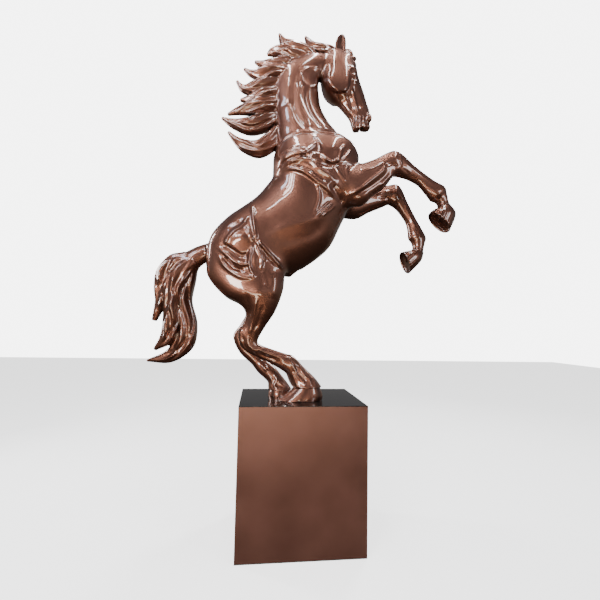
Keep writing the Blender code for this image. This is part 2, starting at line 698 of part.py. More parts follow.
def main():
    clear_scene()
    bronze = make_material("polished_bronze", (0.33, 0.165, 0.10), 0.18)
    skin = make_material("bronze_sheet", (0.24, 0.155, 0.105), 0.38)
    steel = make_material("armature_steel", (0.52, 0.53, 0.55), 0.45)
    horse = bpy.data.objects.new("horse", None)
    horse.location = (0, 0, PLINTH_HEIGHT)
    bpy.context.collection.objects.link(horse)

    plate, top = build_plinth(skin, steel)
    hindquarters, cutters = build_body(horse, bronze)
    fore = ("fore_arm", "fore_cannon", "fore_hoof")
    hind = ("hind_thigh", "hind_cannon", "hind_hoof")
    build_limb(fore, "right", FORE_RIGHT, 6, FORE_RIGHT_HOOF, bronze, horse, cutters["trunk"])
    build_limb(fore, "left", FORE_LEFT, 6, FORE_LEFT_HOOF, bronze, horse, cutters["trunk"])
    hooves = (
        build_limb(hind, "right", HIND_RIGHT, 5, HIND_RIGHT_HOOF, bronze, horse,
                   cutters["trunk"]),
        build_limb(hind, "left", HIND_LEFT, 5, HIND_LEFT_HOOF, bronze, horse,
                   cutters["trunk"]),
    )
    build_head_details(horse, bronze, cutters)
    build_mane(horse, bronze, cutters)
    build_tail(horse, bronze, cutters["trunk"])
    build_armature(horse, steel, hindquarters, hooves, plate, top)


main()
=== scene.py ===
"""A polished bronze horse rearing on its plinth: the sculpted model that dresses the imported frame.

The horse is sculpted as a signed distance field. Each casting is a loft through elliptical
sections, blended into its neighbours and then chased with ridges and grooves. The field is
meshed on a grid, fitted to the exact surface, and split back into the castings. Locks of hair
are lofts of the same kind with combed grooves, meshed on a finer grid with what they grow from.
Hooves and ears are meshed directly.
"""

import math

import bpy
import numpy as np
from mathutils import Matrix, Vector


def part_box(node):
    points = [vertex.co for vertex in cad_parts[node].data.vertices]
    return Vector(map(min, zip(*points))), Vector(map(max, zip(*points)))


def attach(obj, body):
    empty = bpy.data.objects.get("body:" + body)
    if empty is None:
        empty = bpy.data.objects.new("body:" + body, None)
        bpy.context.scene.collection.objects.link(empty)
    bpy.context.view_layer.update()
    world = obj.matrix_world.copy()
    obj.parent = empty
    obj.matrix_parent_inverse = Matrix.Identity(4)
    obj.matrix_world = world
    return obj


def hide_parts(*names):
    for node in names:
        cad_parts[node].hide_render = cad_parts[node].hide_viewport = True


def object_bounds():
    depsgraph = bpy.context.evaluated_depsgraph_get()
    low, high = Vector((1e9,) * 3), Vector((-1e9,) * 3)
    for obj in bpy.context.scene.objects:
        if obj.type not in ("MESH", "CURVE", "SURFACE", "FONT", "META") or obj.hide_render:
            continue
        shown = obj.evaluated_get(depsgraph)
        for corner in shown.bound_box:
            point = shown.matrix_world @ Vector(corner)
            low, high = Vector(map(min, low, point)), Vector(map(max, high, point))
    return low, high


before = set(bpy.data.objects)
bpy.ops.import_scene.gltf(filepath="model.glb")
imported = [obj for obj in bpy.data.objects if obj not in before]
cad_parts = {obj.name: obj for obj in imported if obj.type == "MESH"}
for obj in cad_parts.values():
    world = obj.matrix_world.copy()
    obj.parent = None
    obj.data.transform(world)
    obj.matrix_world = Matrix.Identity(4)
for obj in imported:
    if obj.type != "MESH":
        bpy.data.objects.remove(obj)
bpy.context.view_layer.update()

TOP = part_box("plinth_top_plate")[1][2]
# The tables are in millimetres, and their heights are measured from the plinth's top.
MM = 1000
MID = -20
MID_Y = MID / MM
# Everything else is in metres. First the grid steps of the body, the head and the hair.
CELL = 0.007
HEAD_CELL = 0.0035
HAIR_CELL = 0.0045
# A loft: steps between two sections, the steps over which an end cuts it off, the end's radius.
LOFT_STEPS = 8
END_ROWS = 12
END_ROUND = 0.008
# Marks: steps between two points, how fast a line's ends fade in, and the bare band at the
# middle plane with the width over which the marks fade in beside it.
CURVE_STEPS = 5
LINE_FADE = 5
SPINE_BAND = 0.012
FADE_BAND = 0.045
FIT_STEPS = 2
# The field where there is no casting, a distance beyond any other, and the fewest faces kept.
EMPTY = 0.3
FAR = 9.0
SPECK = 60

# Each row is one section of a casting: x and height of its outline's front point and of its
# back point, its middle in y, half its width, and how boxy it is (2 is an ellipse).
TRUNK = (
    (-695, 930, -700, 1115, MID, 100, 2.1), (-640, 850, -660, 1210, MID, 185, 2.2),
    (-480, 835, -560, 1325, MID, 230, 2.2), (-290, 860, -450, 1412, MID, 238, 2.2),
    (-130, 900, -355, 1492, MID, 232, 2.2), (0, 960, -280, 1588, MID, 235, 2.1),
    (115, 1040, -240, 1652, MID, 240, 2.1), (215, 1140, -235, 1732, MID, 243, 2.1),
    (285, 1285, -230, 1832, MID, 238, 2.2), (365, 1465, -180, 1940, MID, 232, 2.3),
    (412, 1635, -50, 2010, MID, 218, 2.4), (436, 1795, 145, 2026, MID, 180, 2.3),
    (422, 1890, 295, 1992, MID, 100, 2.1),
)
NECK = (
    (290, 1880, -165, 1790, MID, 150, 2.1), (285, 1950, -218, 1880, MID, 165, 2.1),
    (260, 2030, -225, 1975, MID, 155, 2.1), (195, 2110, -225, 2090, MID, 130, 2.1),
    (130, 2230, -235, 2240, MID, 110, 2.1), (110, 2350, -235, 2390, MID, 98, 2.1),
    (105, 2430, -200, 2510, MID, 92, 2.1), (120, 2480, -120, 2595, MID, 88, 2.1),
    (155, 2510, 0, 2660, MID, 84, 2.1), (195, 2530, 110, 2685, MID, 76, 2.1),
    (240, 2545, 215, 2665, MID, 60, 2.1),
)
HEAD = (
    (325, 2722, 150, 2690, MID, 66, 2.1), (372, 2685, 125, 2570, MID, 88, 2.4),
    (394, 2612, 128, 2460, MID, 98, 2.8), (417, 2532, 150, 2385, MID, 102, 3),
    (442, 2460, 200, 2330, MID, 92, 2.8), (470, 2395, 262, 2285, MID, 74, 2.6),
    (500, 2310, 320, 2225, MID, 58, 2.4), (527, 2235, 362, 2170, MID, 55, 2.3),
    (533, 2165, 378, 2118, MID, 55, 2.2), (505, 2102, 392, 2080, MID, 42, 2.1),
)
CHEEKS = (
    (300, 2650, 205, 2620, MID, 74, 3), (332, 2570, 172, 2530, MID, 94, 4),
    (350, 2490, 148, 2455, MID, 106, 5), (351, 2420, 152, 2405, MID, 111, 5),
    (338, 2375, 182, 2362, MID, 111, 5), (312, 2338, 232, 2330, MID, 106, 5),
)
FORE_RIGHT = (
    (120, 1700, 260, 1440, -130, 85, 2), (290, 1705, 415, 1425, -160, 92, 2.1),
    (415, 1745, 505, 1500, -165, 82, 2.1), (520, 1790, 600, 1580, -162, 70, 2.1),
    (615, 1845, 660, 1655, -158, 66, 2.3), (675, 1865, 685, 1675, -155, 70, 2.5),
    (740, 1845, 720, 1675, -150, 65, 2.3), (820, 1785, 800, 1655, -145, 48, 2.1),
    (915, 1720, 880, 1615, -140, 42, 2.1), (1000, 1665, 940, 1550, -140, 46, 2.1),
    (1080, 1625, 980, 1510, -135, 58, 2.2), (1105, 1580, 1015, 1500, -130, 50, 2.1),
    (1120, 1505, 1038, 1485, -130, 47, 2.1), (1131, 1477, 1036, 1463, -130, 54, 2.1),
)
FORE_LEFT = (
    (250, 1690, 310, 1410, 100, 85, 2), (400, 1705, 460, 1415, 130, 90, 2.1),
    (515, 1705, 570, 1475, 136, 78, 2.1), (630, 1695, 670, 1520, 135, 66, 2.1),
    (725, 1710, 735, 1550, 130, 64, 2.3), (800, 1720, 765, 1540, 125, 66, 2.5),
    (845, 1680, 800, 1515, 125, 58, 2.3), (890, 1585, 840, 1465, 120, 45, 2.1),
    (955, 1460, 885, 1395, 120, 42, 2.1), (1010, 1360, 900, 1320, 115, 48, 2.1),
    (1050, 1280, 905, 1270, 115, 56, 2.2), (1040, 1235, 930, 1230, 110, 48, 2.1),
    (1028, 1180, 940, 1190, 110, 45, 2.1), (1022, 1146, 932, 1170, 110, 52, 2.1),
)
HIND_RIGHT = (
    (-250, 1180, -620, 1080, -100, 100, 2), (-150, 995, -692, 905, -138, 112, 2.1),
    (-140, 835, -585, 750, -155, 118, 2.2), (-160, 730, -460, 680, -162, 102, 2.2),
    (-205, 615, -410, 615, -160, 82, 2.1), (-265, 520, -420, 550, -150, 62, 2.1),
    (-315, 425, -455, 465, -140, 54, 2.3), (-300, 390, -415, 355, -135, 50, 2.4),
    (-205, 355, -250, 270, -130, 42, 2.1), (-110, 325, -150, 215, -125, 50, 2.2),
    (-60, 310, -110, 185, -120, 57, 2.2), (15, 235, -95, 150, -120, 56, 2.1),
    (100, 155, -80, 118, -120, 72, 2.1), (150, 92, -62, 91, -120, 92, 2.2),
)
HIND_LEFT = (
    (-250, 1180, -620, 1080, 60, 100, 2), (-150, 995, -692, 905, 98, 112, 2.1),
    (-140, 835, -585, 750, 115, 118, 2.2), (-165, 730, -460, 680, 122, 102, 2.2),
    (-225, 615, -415, 615, 122, 82, 2.1), (-310, 515, -455, 530, 116, 62, 2.1),
    (-370, 420, -505, 440, 110, 54, 2.3), (-345, 350, -455, 320, 100, 49, 2.4),
    (-290, 290, -360, 230, 90, 42, 2.1), (-225, 245, -310, 170, 80, 48, 2.2),
    (-180, 208, -262, 128, 75, 54, 2.2), (-130, 150, -233, 98, 70, 56, 2.1),
    (-85, 95, -229, 68, 68, 66, 2.1), (-48, 44, -228, 42, 65, 84, 2.2),
)
SHEATH = (
    (20, 998, -5, 968, MID, 22, 2), (-8, 990, -54, 925, MID, 40, 2),
    (-55, 972, -88, 896, MID, 46, 2), (-108, 950, -122, 905, MID, 28, 2),
)
TAIL_ROOT = (
    (-620, 1015, -620, 1130, MID, 50, 2), (-700, 990, -715, 1122, MID, 56, 2),
    (-770, 930, -815, 1080, MID, 66, 2), (-815, 850, -925, 1000, MID, 76, 2),
    (-840, 770, -985, 860, MID, 78, 2),
)

FORE_RIGHT_HOOF = (
    (1134, 1476, 1030, 1460, -130, 60), (1170, 1400, 995, 1435, -130, 88),
    (1120, 1270, 975, 1415, -130, 95),
)
FORE_LEFT_HOOF = (
    (1026, 1145, 928, 1172, 110, 56), (1000, 1075, 865, 1155, 110, 80),
    (905, 975, 840, 1150, 110, 85),
)
HIND_RIGHT_HOOF = (
    (134, 94, -46, 94, -120, 78), (150, 62, -88, 58, -120, 88), (158, 30, -128, 28, -120, 95),
    (153, 0.3, -168, 0.3, -120, 98),
)
HIND_LEFT_HOOF = (
    (-58, 48, -220, 48, 65, 76), (-44, 25, -226, 24, 65, 85), (-32, 0.3, -232, 0.3, 65, 89),
)
# Locks of hair: (x, height, half depth, half width) along each lock, root first. The tail's
# locks have a name and a middle in y besides.
MANE_LOCKS = (
    ((275, 2700, 32, 40), (200, 2722, 46, 58), (115, 2734, 52, 60), (40, 2770, 36, 40),
     (-6, 2838, 9, 12)),
    ((90, 2630, 40, 45), (-5, 2682, 62, 58), (-105, 2715, 60, 50), (-178, 2756, 36, 32),
     (-214, 2822, 9, 12)),
    ((15, 2630, 55, 50), (-100, 2655, 64, 62), (-195, 2675, 58, 50), (-262, 2670, 36, 30),
     (-304, 2644, 10, 12)),
    ((-65, 2580, 55, 52), (-170, 2578, 62, 60), (-272, 2560, 54, 48), (-346, 2566, 28, 28),
     (-400, 2582, 10, 12)),
    ((-145, 2505, 55, 52), (-250, 2495, 62, 62), (-350, 2470, 54, 48), (-424, 2470, 27, 28),
     (-480, 2502, 10, 12)),
    ((-180, 2420, 55, 52), (-290, 2405, 66, 64), (-395, 2366, 58, 50), (-482, 2356, 30, 30),
     (-534, 2414, 10, 12)),
    ((-200, 2330, 55, 52), (-300, 2305, 62, 62), (-388, 2272, 52, 48), (-452, 2258, 28, 28),
     (-502, 2252, 10, 12)),
    ((-200, 2250, 55, 52), (-320, 2215, 64, 64), (-430, 2190, 52, 50), (-522, 2160, 28, 28),
     (-592, 2128, 10, 12)),
    ((-200, 2160, 55, 52), (-300, 2105, 72, 70), (-425, 2060, 68, 60), (-540, 2068, 40, 36),
     (-638, 2108, 10, 12)),
    ((-190, 2030, 55, 55), (-265, 1930, 70, 64), (-355, 1870, 68, 58), (-455, 1888, 50, 42),
     (-528, 1935, 26, 26), (-584, 1990, 10, 12)),
)
TAIL_LOCKS = (
    ("rear", -36,
     ((-850, 1010, 45, 50), (-935, 975, 60, 62), (-1002, 890, 60, 66), (-1020, 790, 52, 62),
      (-1018, 690, 42, 50), (-1040, 610, 30, 36), (-1060, 545, 18, 20))),
    ("middle", -48,
     ((-800, 990, 50, 55), (-880, 900, 75, 80), (-925, 780, 70, 84), (-935, 660, 62, 82),
      (-935, 545, 62, 76), (-965, 420, 50, 60), (-1045, 340, 12, 18))),
    ("front", -10,
     ((-800, 975, 30, 50), (-838, 860, 58, 78), (-862, 700, 58, 82), (-832, 525, 72, 78),
      (-855, 390, 80, 76), (-950, 290, 48, 52), (-1105, 258, 8, 12))),
)
# Chasing marks, as seen from the side. A line has its width and height, then x and height of
# each point along it. A step has its reach before the points, and a spot has its angle in
# degrees, its height, its centre and its two radii.
FLANK_MARKS = (
    ("step", 12, 24, 150, -220, 1630, -115, 1635, -25, 1605, 65, 1545, 160, 1485, 240, 1430),
    (16, 13, -220, 1640, -135, 1690, -45, 1710, 20, 1700, 85, 1645, 160, 1600, 225, 1555),
    (18, -13, -180, 1645, -70, 1665, 10, 1640, 95, 1585, 160, 1545),
    (26, 18, -210, 1705, -135, 1755, -70, 1765, -15, 1750),
    (12, -12, -210, 1675, -115, 1720, -25, 1740, 30, 1735),
    (11, 8, -190, 1750, -115, 1800, -45, 1800, 5, 1775), (11, 7, -35, 1755, 20, 1800, 65, 1855),
    (12, 9, 50, 1905, 65, 1875, 90, 1815, 85, 1750), (13, 8, 20, 1745, 85, 1755, 160, 1700),
    (13, 10, 85, 1755, 140, 1720, 195, 1710, 235, 1750, 255, 1815, 290, 1870),
    (12, 9, 195, 1710, 260, 1740, 305, 1785, 330, 1840), ("spot", 10, -14, 160, 1690, 60, 20),
    ("spot", 20, 8, 30, 1830, 70, 45), ("spot", 30, 10, 185, 1815, 55, 50),
    ("spot", -10, 6, 305, 1750, 40, 70), (11, 8, 225, 1700, 290, 1720, 360, 1710),
    (12, 12, 195, 1695, 235, 1630, 300, 1545), (10, 10, 290, 1705, 295, 1630, 305, 1555),
    (10, 9, 365, 1685, 360, 1610, 335, 1545), (28, -20, 170, 1555, 235, 1480, 300, 1445),
    (8, 5, 50, 1305, 115, 1370, 180, 1435), (8, 5, 80, 1300, 140, 1360, 200, 1420),
    (8, 5, 115, 1310, 170, 1360, 220, 1405), (14, 8, 60, 1555, 90, 1480, 85, 1400, 50, 1305),
    (35, 8, -285, 1150, -155, 1215, -25, 1260, 85, 1305, 205, 1390),
    (40, -6, -210, 1095, -70, 1140, 50, 1185, 160, 1285),
)
HIP_MARKS = (
    (12, 12, -385, 1375, -370, 1265, -355, 1170, -345, 1105),
    (13, 14, -345, 1120, -285, 1055, -210, 980, -145, 915),
    (14, -10, -325, 1080, -275, 1020, -200, 945), (10, 8, -330, 1115, -295, 1025, -280, 960),
    (12, 13, -365, 1090, -390, 985, -380, 910, -345, 845),
    (12, 10, -355, 1100, -325, 1035, -305, 970, -310, 895), ("spot", 0, 10, -350, 975, 30, 60),
    ("spot", 10, 18, -440, 1125, 75, 55),
    (12, 9, -405, 1295, -445, 1215, -505, 1170, -550, 1105, -560, 1060),
    (18, -6, -440, 1265, -485, 1220, -545, 1190), (12, 8, -420, 1220, -395, 1155, -360, 1100),
    (14, 12, -615, 1060, -545, 1005, -485, 955, -420, 940, -380, 960),
    (18, -12, -590, 1090, -505, 1035, -440, 1000, -395, 1025),
    (18, 12, -615, 1015, -555, 930, -485, 875, -415, 850, -330, 855),
    (14, -12, -570, 985, -495, 915, -415, 895), (25, -6, -300, 920, -275, 855, -255, 780),
    (30, 6, -210, 895, -210, 800, -225, 710),
)
THIGH_MARKS = (
    ("spot", 0, 7, -320, 745, 45, 50), (18, -6, -410, 755, -390, 670, -385, 575, -410, 495),
    (14, 7, -330, 725, -345, 635, -365, 520, -380, 450),
    (14, -5, -290, 670, -310, 575, -345, 485), (12, 5, -430, 520, -445, 450, -425, 385),
    (10, 5, -380, 465, -385, 410, -355, 365, -290, 340),
    (10, -5, -415, 450, -410, 390, -375, 345), (10, -4, -350, 335, -225, 295, -135, 255),
    (10, 3, -330, 370, -210, 330, -115, 300),
)
NECK_MARKS = (
    (16, -9, 15, 2370, 0, 2265, 30, 2150, 85, 2055, 170, 1960),
    (18, -6, -80, 2490, -100, 2340, -95, 2205, -55, 2075, 20, 1940),
    (22, 5, -35, 2435, -55, 2275, -25, 2150, 60, 2000),
    (30, 4, -120, 2415, -140, 2285, -125, 2130, -75, 1970),
    (12, 5, 160, 2515, 70, 2515, -10, 2490, -35, 2435, -15, 2380, 25, 2350),
    ("spot", 25, 4, 65, 2480, 60, 32), (10, 5, 145, 2490, 105, 2425, 70, 2380, 30, 2350),
    (20, -3, -205, 2170, -130, 2205, -85, 2150),
)
COLLAR_SEAM = (
    (10, -8, -230, 1850, -165, 1895, -112, 1924, -17, 1943, 125, 1943, 267, 1943, 330, 1950),
)
HEAD_MARKS = (
    (10, 8, 345, 2395, 375, 2330, 400, 2250, 410, 2195),
    (16, -10, 325, 2330, 355, 2280, 370, 2215),
    (14, 3, 385, 2440, 425, 2340, 470, 2250, 500, 2200),
    (14, -4, 370, 2400, 405, 2315, 440, 2225),
    (12, 5, 335, 2500, 350, 2545, 385, 2545, 410, 2505), (10, 6, 350, 2440, 380, 2432, 402, 2450),
    ("spot", -40, -10, 300, 2285, 50, 30), ("spot", 0, 4, 435, 2230, 30, 40),
    (7, -10, 395, 2185, 388, 2130, 395, 2060), (7, -10, 425, 2190, 418, 2130, 430, 2070),
    (7, -9, 460, 2185, 452, 2130, 460, 2070), (8, -8, 490, 2215, 478, 2160, 485, 2110),
)
HIND_RIGHT_MARKS = (
    (12, 6, -325, 375, -270, 340, -195, 318, -120, 285),
    (12, -4, -330, 350, -265, 312, -180, 285),
    (10, 6, -96, 299, -52, 221, -28, 171, 8, 137, 28, 104),
    (10, -6, -64, 250, -39, 230, -24, 191, 14, 150, 40, 104),
    (10, 7, -20, 260, -2, 221, 17, 186, 55, 150, 60, 104),
    (10, 5, 30, 220, 55, 175, 85, 150, 100, 104), (10, 5, -70, 200, -50, 150, -40, 104),
)
HIND_LEFT_MARKS = (
    (10, 7, -290, 268, -250, 232, -215, 200), (10, 7, -300, 245, -260, 205, -235, 180),
    (10, 7, -193, 174, -170, 121, -185, 85, -160, 55),
    (10, 7, -171, 153, -149, 105, -111, 78, -98, 55), (10, 6, -210, 140, -205, 100, -215, 55),
)
FORE_RIGHT_MARKS = (
    (14, 8, 280, 1475, 375, 1515, 465, 1590, 560, 1675, 590, 1725),
    (16, -8, 345, 1465, 455, 1540, 560, 1625, 625, 1695),
    (12, 5, 550, 1560, 605, 1625, 655, 1675), (20, 4, 395, 1670, 485, 1690, 570, 1745),
    (10, -5, 585, 1725, 635, 1740, 690, 1725), ("spot", 0, 7, 655, 1780, 35, 35),
    (10, 4, 705, 1820, 705, 1770, 715, 1725), (12, -5, 715, 1725, 830, 1660, 930, 1585),
    (10, 3, 745, 1760, 855, 1695, 975, 1620), ("spot", -30, 6, 985, 1570, 35, 25),
    (10, -5, 930, 1580, 965, 1540, 1005, 1520), (10, 3, 1015, 1560, 1050, 1510, 1070, 1455),
)
FORE_LEFT_MARKS = (
    (12, 6, 625, 1620, 685, 1640, 735, 1630), (12, -5, 625, 1580, 695, 1590, 745, 1555),
    (10, 4, 805, 1650, 860, 1535, 920, 1405, 960, 1320),
    (12, -5, 765, 1565, 840, 1465, 905, 1350), ("spot", 0, 6, 775, 1630, 30, 30),
    ("spot", 0, 6, 960, 1290, 30, 30),
)


def interpolate(rows, steps):
    """Catmull-Rom through the rows of a table."""
    table = np.array(rows, dtype=float)
    padded = np.vstack([table[:1] * 2 - table[1:2], table, table[-1:] * 2 - table[-2:-1]])
    result = []
    for index in range(len(table) - 1):
        a, b, c, d = padded[index:index + 4]
        for step in range(steps):
            t = step / steps
            result.append(0.5 * (2 * b + (c - a) * t + (2 * a - 5 * b + 4 * c - d) * t * t
                                 + (3 * b - a - 3 * c + d) * t ** 3))
    result.append(table[-1])
    return np.array(result)


def sections(table):
    """The rows of a loft in metres. The last column is a power and has no unit."""
    return np.array(table) / ((MM,) * 6 + (1,))


# ---------------------------------------------------------------- the distance field

class Loft:
    """A casting's sections as a signed distance. All sections stand square to the XZ plane."""

    def __init__(self, rows, blend, skew=0.0):
        dense = interpolate(rows, LOFT_STEPS)
        self.skew = skew
        front = dense[:, 0:2]
        back = dense[:, 2:4]
        reach = (front - back) / 2
        self.depth = np.linalg.norm(reach, axis=1)
        self.centre = (front + back) / 2
        self.axis = reach / self.depth[:, None]
        normal = np.stack([-self.axis[:, 1], self.axis[:, 0]], axis=1)
        travel = np.gradient(self.centre, axis=0)
        facing = np.sign(np.sum(normal * travel, axis=1))
        if np.any(facing <= 0) and np.any(facing > 0):
            facing[:] = np.sign(np.sum(facing))
        self.normal = normal * facing[:, None]
        self.y = dense[:, 4]
        self.half = dense[:, 5]
        self.power = dense[:, 6]
        margin = blend + 0.04
        wide = np.concatenate([front, back])
        self.low = np.array([wide[:, 0].min(), (self.y - self.half).min(), wide[:, 1].min()])
        self.high = np.array([wide[:, 0].max(), (self.y + self.half).max(), wide[:, 1].max()])
        self.low -= margin
        self.high += margin

    def locate(self, x, z):
        """For points in the XZ plane: the section they lie in and their place along it."""
        count = len(self.depth)
        place = np.full(x.shape, -1.0)
        best = np.full(x.shape, np.inf)
        before = None
        for index in range(count):
            dx = x - self.centre[index, 0]
            dz = z - self.centre[index, 1]
            side = dx * self.normal[index, 0] + dz * self.normal[index, 1]
            along = np.abs(dx * self.axis[index, 0] + dz * self.axis[index, 1])
            along = along / self.depth[index]
            if before is not None:
                last_side, last_along = before
                hit = (last_side >= 0) & (side < 0)
                share = np.where(hit, last_side / np.maximum(last_side - side, 1e-9), 0)
                cost = last_along + (along - last_along) * share
                better = hit & (cost < best)
                place = np.where(better, index - 1 + share, place)
                best = np.where(better, cost, best)
            if index == 0:
                start = (side, along)
            before = (side, along)
        start_side, start_along = start
        end_side, end_along = before
        missing = place < 0
        at_start = missing & (start_side < 0)
        at_end = missing & (end_side > 0)
        start_cost = np.abs(start_side) + start_along * 0.1
        end_cost = np.abs(end_side) + end_along * 0.1
        at_start &= ~(at_end & (start_cost >= end_cost))
        at_end &= ~at_start
        place = np.where(at_start | (missing & ~at_end), 0.0, place)
        place = np.where(at_end, count - 1.0, place)
        beyond = np.full(x.shape, -1.0)
        beyond = np.where(place < END_ROWS, -start_side, beyond)
        beyond = np.where(place > count - 1 - END_ROWS, end_side, beyond)
        beyond = np.where(missing & ~at_start & ~at_end, 0.5, beyond)
        return place, beyond

    def section(self, place):
        low = np.clip(np.floor(place).astype(int), 0, len(self.depth) - 2)
        share = place - low

        def pick(values):
            return values[low] + (values[low + 1] - values[low]) * share

        axis_x = pick(self.axis[:, 0])
        axis_z = pick(self.axis[:, 1])
        length = np.sqrt(axis_x ** 2 + axis_z ** 2)
        return (pick(self.centre[:, 0]), pick(self.centre[:, 1]), axis_x / length,
                axis_z / length, pick(self.depth), pick(self.y), pick(self.half),
                pick(self.power))

    def distance(self, x, y, z, where=None):
        """Signed distance, with x, y and z broadcast against each other."""
        place, beyond = self.locate(x, z) if where is None else where
        cx, cz, ax, az, depth, mid, half, power = self.section(place)
        u = ((x - cx) * ax + (z - cz) * az) / depth
        half = half * (1.0 - self.skew * np.clip(u, -1, 1))
        v = (y - mid) / half
        au = np.abs(u) + 1e-6
        av = np.abs(v) + 1e-6
        total = au ** power + av ** power
        q = total ** (1.0 / power)
        slope = np.sqrt((au ** (power - 1) / depth) ** 2 + (av ** (power - 1) / half) ** 2)
        slope = slope * total ** (1.0 / power - 1.0)
        flat = (q - 1.0) / np.maximum(slope, 1e-3) + END_ROUND
        beyond = beyond + END_ROUND
        outside = np.sqrt(np.maximum(flat, 0.0) ** 2 + np.maximum(beyond, 0.0) ** 2)
        return np.where(outside > 0, outside, np.maximum(flat, beyond)) - END_ROUND


def smooth_min(a, b, reach):
    """The smaller of two distances, rounded where they are within reach of each other."""
    overlap = np.maximum(reach - np.abs(a - b), 0.0)
    return np.minimum(a, b) - overlap * overlap * 0.25 / reach


def stroke_distance(points, x, z):
    """Distance to a polyline in the XZ plane, which side of it, and how far along (0 to 1)."""
    best = np.full(x.shape, np.inf)
    side = np.zeros(x.shape)
    along = np.zeros(x.shape)
    spans = len(points) - 1
    for index in range(spans):
        ax, az = points[index]
        bx, bz = points[index + 1]
        dx, dz = bx - ax, bz - az
        length = dx * dx + dz * dz
        t = np.clip(((x - ax) * dx + (z - az) * dz) / length, 0.0, 1.0)
        px = x - ax - dx * t
        pz = z - az - dz * t
        distance = np.sqrt(px * px + pz * pz)
        nearer = distance < best
        best = np.where(nearer, distance, best)
        side = np.where(nearer, np.sign(dx * pz - dz * px), side)
        along = np.where(nearer, (index + t) / spans, along)
    return best, side, along


class Chasing:
    """Ridges, grooves, hollows and steps drawn on the flanks, as seen from the side."""

    def __init__(self, table=()):
        self.marks = []
        draw = {"step": self.step, "spot": self.spot}
        for row in table:
            if row[0] in draw:
                draw[row[0]](*row[1:])
            else:
                self.line(*row)

    def line(self, width, height, *path):
        """A ridge (height above zero) or a groove along a curve, fading out at both ends."""
        self.draw(np.array(path).reshape(-1, 2) / MM, width / MM, height / MM)

    def step(self, width, height, reach, *path):
        """The surface to the left of the curve stands proud, fading away from the curve."""
        self.draw(np.array(path).reshape(-1, 2) / MM, width / MM, height / MM, reach / MM)

    def draw(self, points, width, height, reach=0):
        curve = interpolate(points, CURVE_STEPS) if len(points) > 2 else np.array(points)
        self.marks.append((add_stroke, curve, width, height, reach))

    def spot(self, angle, height, *place):
        """A bulge or a hollow: an ellipse with its first radius turned by angle degrees."""
        turn = math.radians(angle)
        x, z, first, second = (value / MM for value in place)
        self.marks.append((add_spot, (x, z), (first, second), height / MM,
                           math.cos(turn), math.sin(turn)))

    def relief(self, x, y, z, mid):
        """Height of the marks, where x and z share one shape and y broadcasts against them."""
        total = np.zeros(x.shape)
        for add, *facts in self.marks:
            add(total, x, z, *facts)
        away = np.clip((np.abs(y - mid) - SPINE_BAND) / FADE_BAND, 0.0, 1.0)
        return total * (away * away * (3 - 2 * away))


def add_spot(total, x, z, centre, radii, height, cos, sin):
    dx = x - centre[0]
    dz = z - centre[1]
    u = (dx * cos + dz * sin) / radii[0]
    v = (dz * cos - dx * sin) / radii[1]
    total += height * np.exp(-(u * u + v * v))


def add_stroke(total, x, z, curve, width, height, reach):
    """A line or, if it has a reach, a step."""
    edge = max(width * 3, reach * 2)
    low = curve.min(axis=0) - edge
    high = curve.max(axis=0) + edge
    near = (x > low[0]) & (x < high[0]) & (z > low[1]) & (z < high[1])
    if not np.any(near):
        return
    distance, hand, along = stroke_distance(curve, x[near], z[near])
    ends = np.clip(np.minimum(along, 1 - along) * LINE_FADE, 0, 1)
    if reach:
        value = 0.5 + 0.5 * np.tanh(distance * hand / width)
        value = value * np.exp(-(distance / reach) ** 2)
    else:
        value = np.exp(-(distance / width) ** 2)
    total[near] += height * value * ends


class Casting:
    """A loft with its chasing: one term of the field, and one piece of the finished horse."""

    def __init__(self, name, rows, blend, skew=0.0, chasing=()):
        self.name = name
        self.loft = Loft(rows, blend, skew)
        self.blend = blend
        self.sign = 1
        self.chasing = chasing
        self.low = self.loft.low
        self.high = self.loft.high

    def distance(self, x, y, z):
        value = self.loft.distance(x, y, z)
        for chasing, mid in self.chasing:
            value = value - chasing.relief(x, y, z, mid)
        return value


def field(castings, points, owners=False):
    """The blended distance at each point and, if asked, which casting is nearest."""
    x, y, z = points[:, 0], points[:, 1], points[:, 2]
    total = np.full(len(points), EMPTY)
    nearest = np.full(len(points), FAR)
    owner = np.zeros(len(points), dtype=int)
    for index, casting in enumerate(castings):
        near = np.all((points > casting.low) & (points < casting.high), axis=1)
        if not np.any(near):
            continue
        value = casting.distance(x[near], y[near], z[near])
        if casting.sign < 0:
            total[near] = -smooth_min(-total[near], value, casting.blend)
            continue
        total[near] = smooth_min(total[near], value, casting.blend)
        closer = value < nearest[near]
        spots = np.flatnonzero(near)[closer]
        nearest[spots] = value[closer]
        owner[spots] = index
    return (total, owner) if owners else total


def sample_grid(castings, low, high, cell):
    axes = [np.arange(low[axis], high[axis] + cell, cell) for axis in range(3)]
    grid = np.full([len(axis) for axis in axes], EMPTY)
    for casting in castings:
        span = []
        for axis in range(3):
            first = np.searchsorted(axes[axis], casting.low[axis])
            last = np.searchsorted(axes[axis], casting.high[axis])
            span.append(slice(first, last))
        xs, ys, zs = (axes[axis][span[axis]] for axis in range(3))
        if min(len(xs), len(ys), len(zs)) == 0:
            continue
        x = np.broadcast_to(xs[:, None, None], (len(xs), 1, len(zs)))
        z = np.broadcast_to(zs[None, None, :], (len(xs), 1, len(zs)))
        value = casting.distance(x, ys[None, :, None], z)
        block = tuple(span)
        if casting.sign < 0:
            grid[block] = -smooth_min(-grid[block], value, casting.blend)
        else:
            grid[block] = smooth_min(grid[block], value, casting.blend)
    return grid


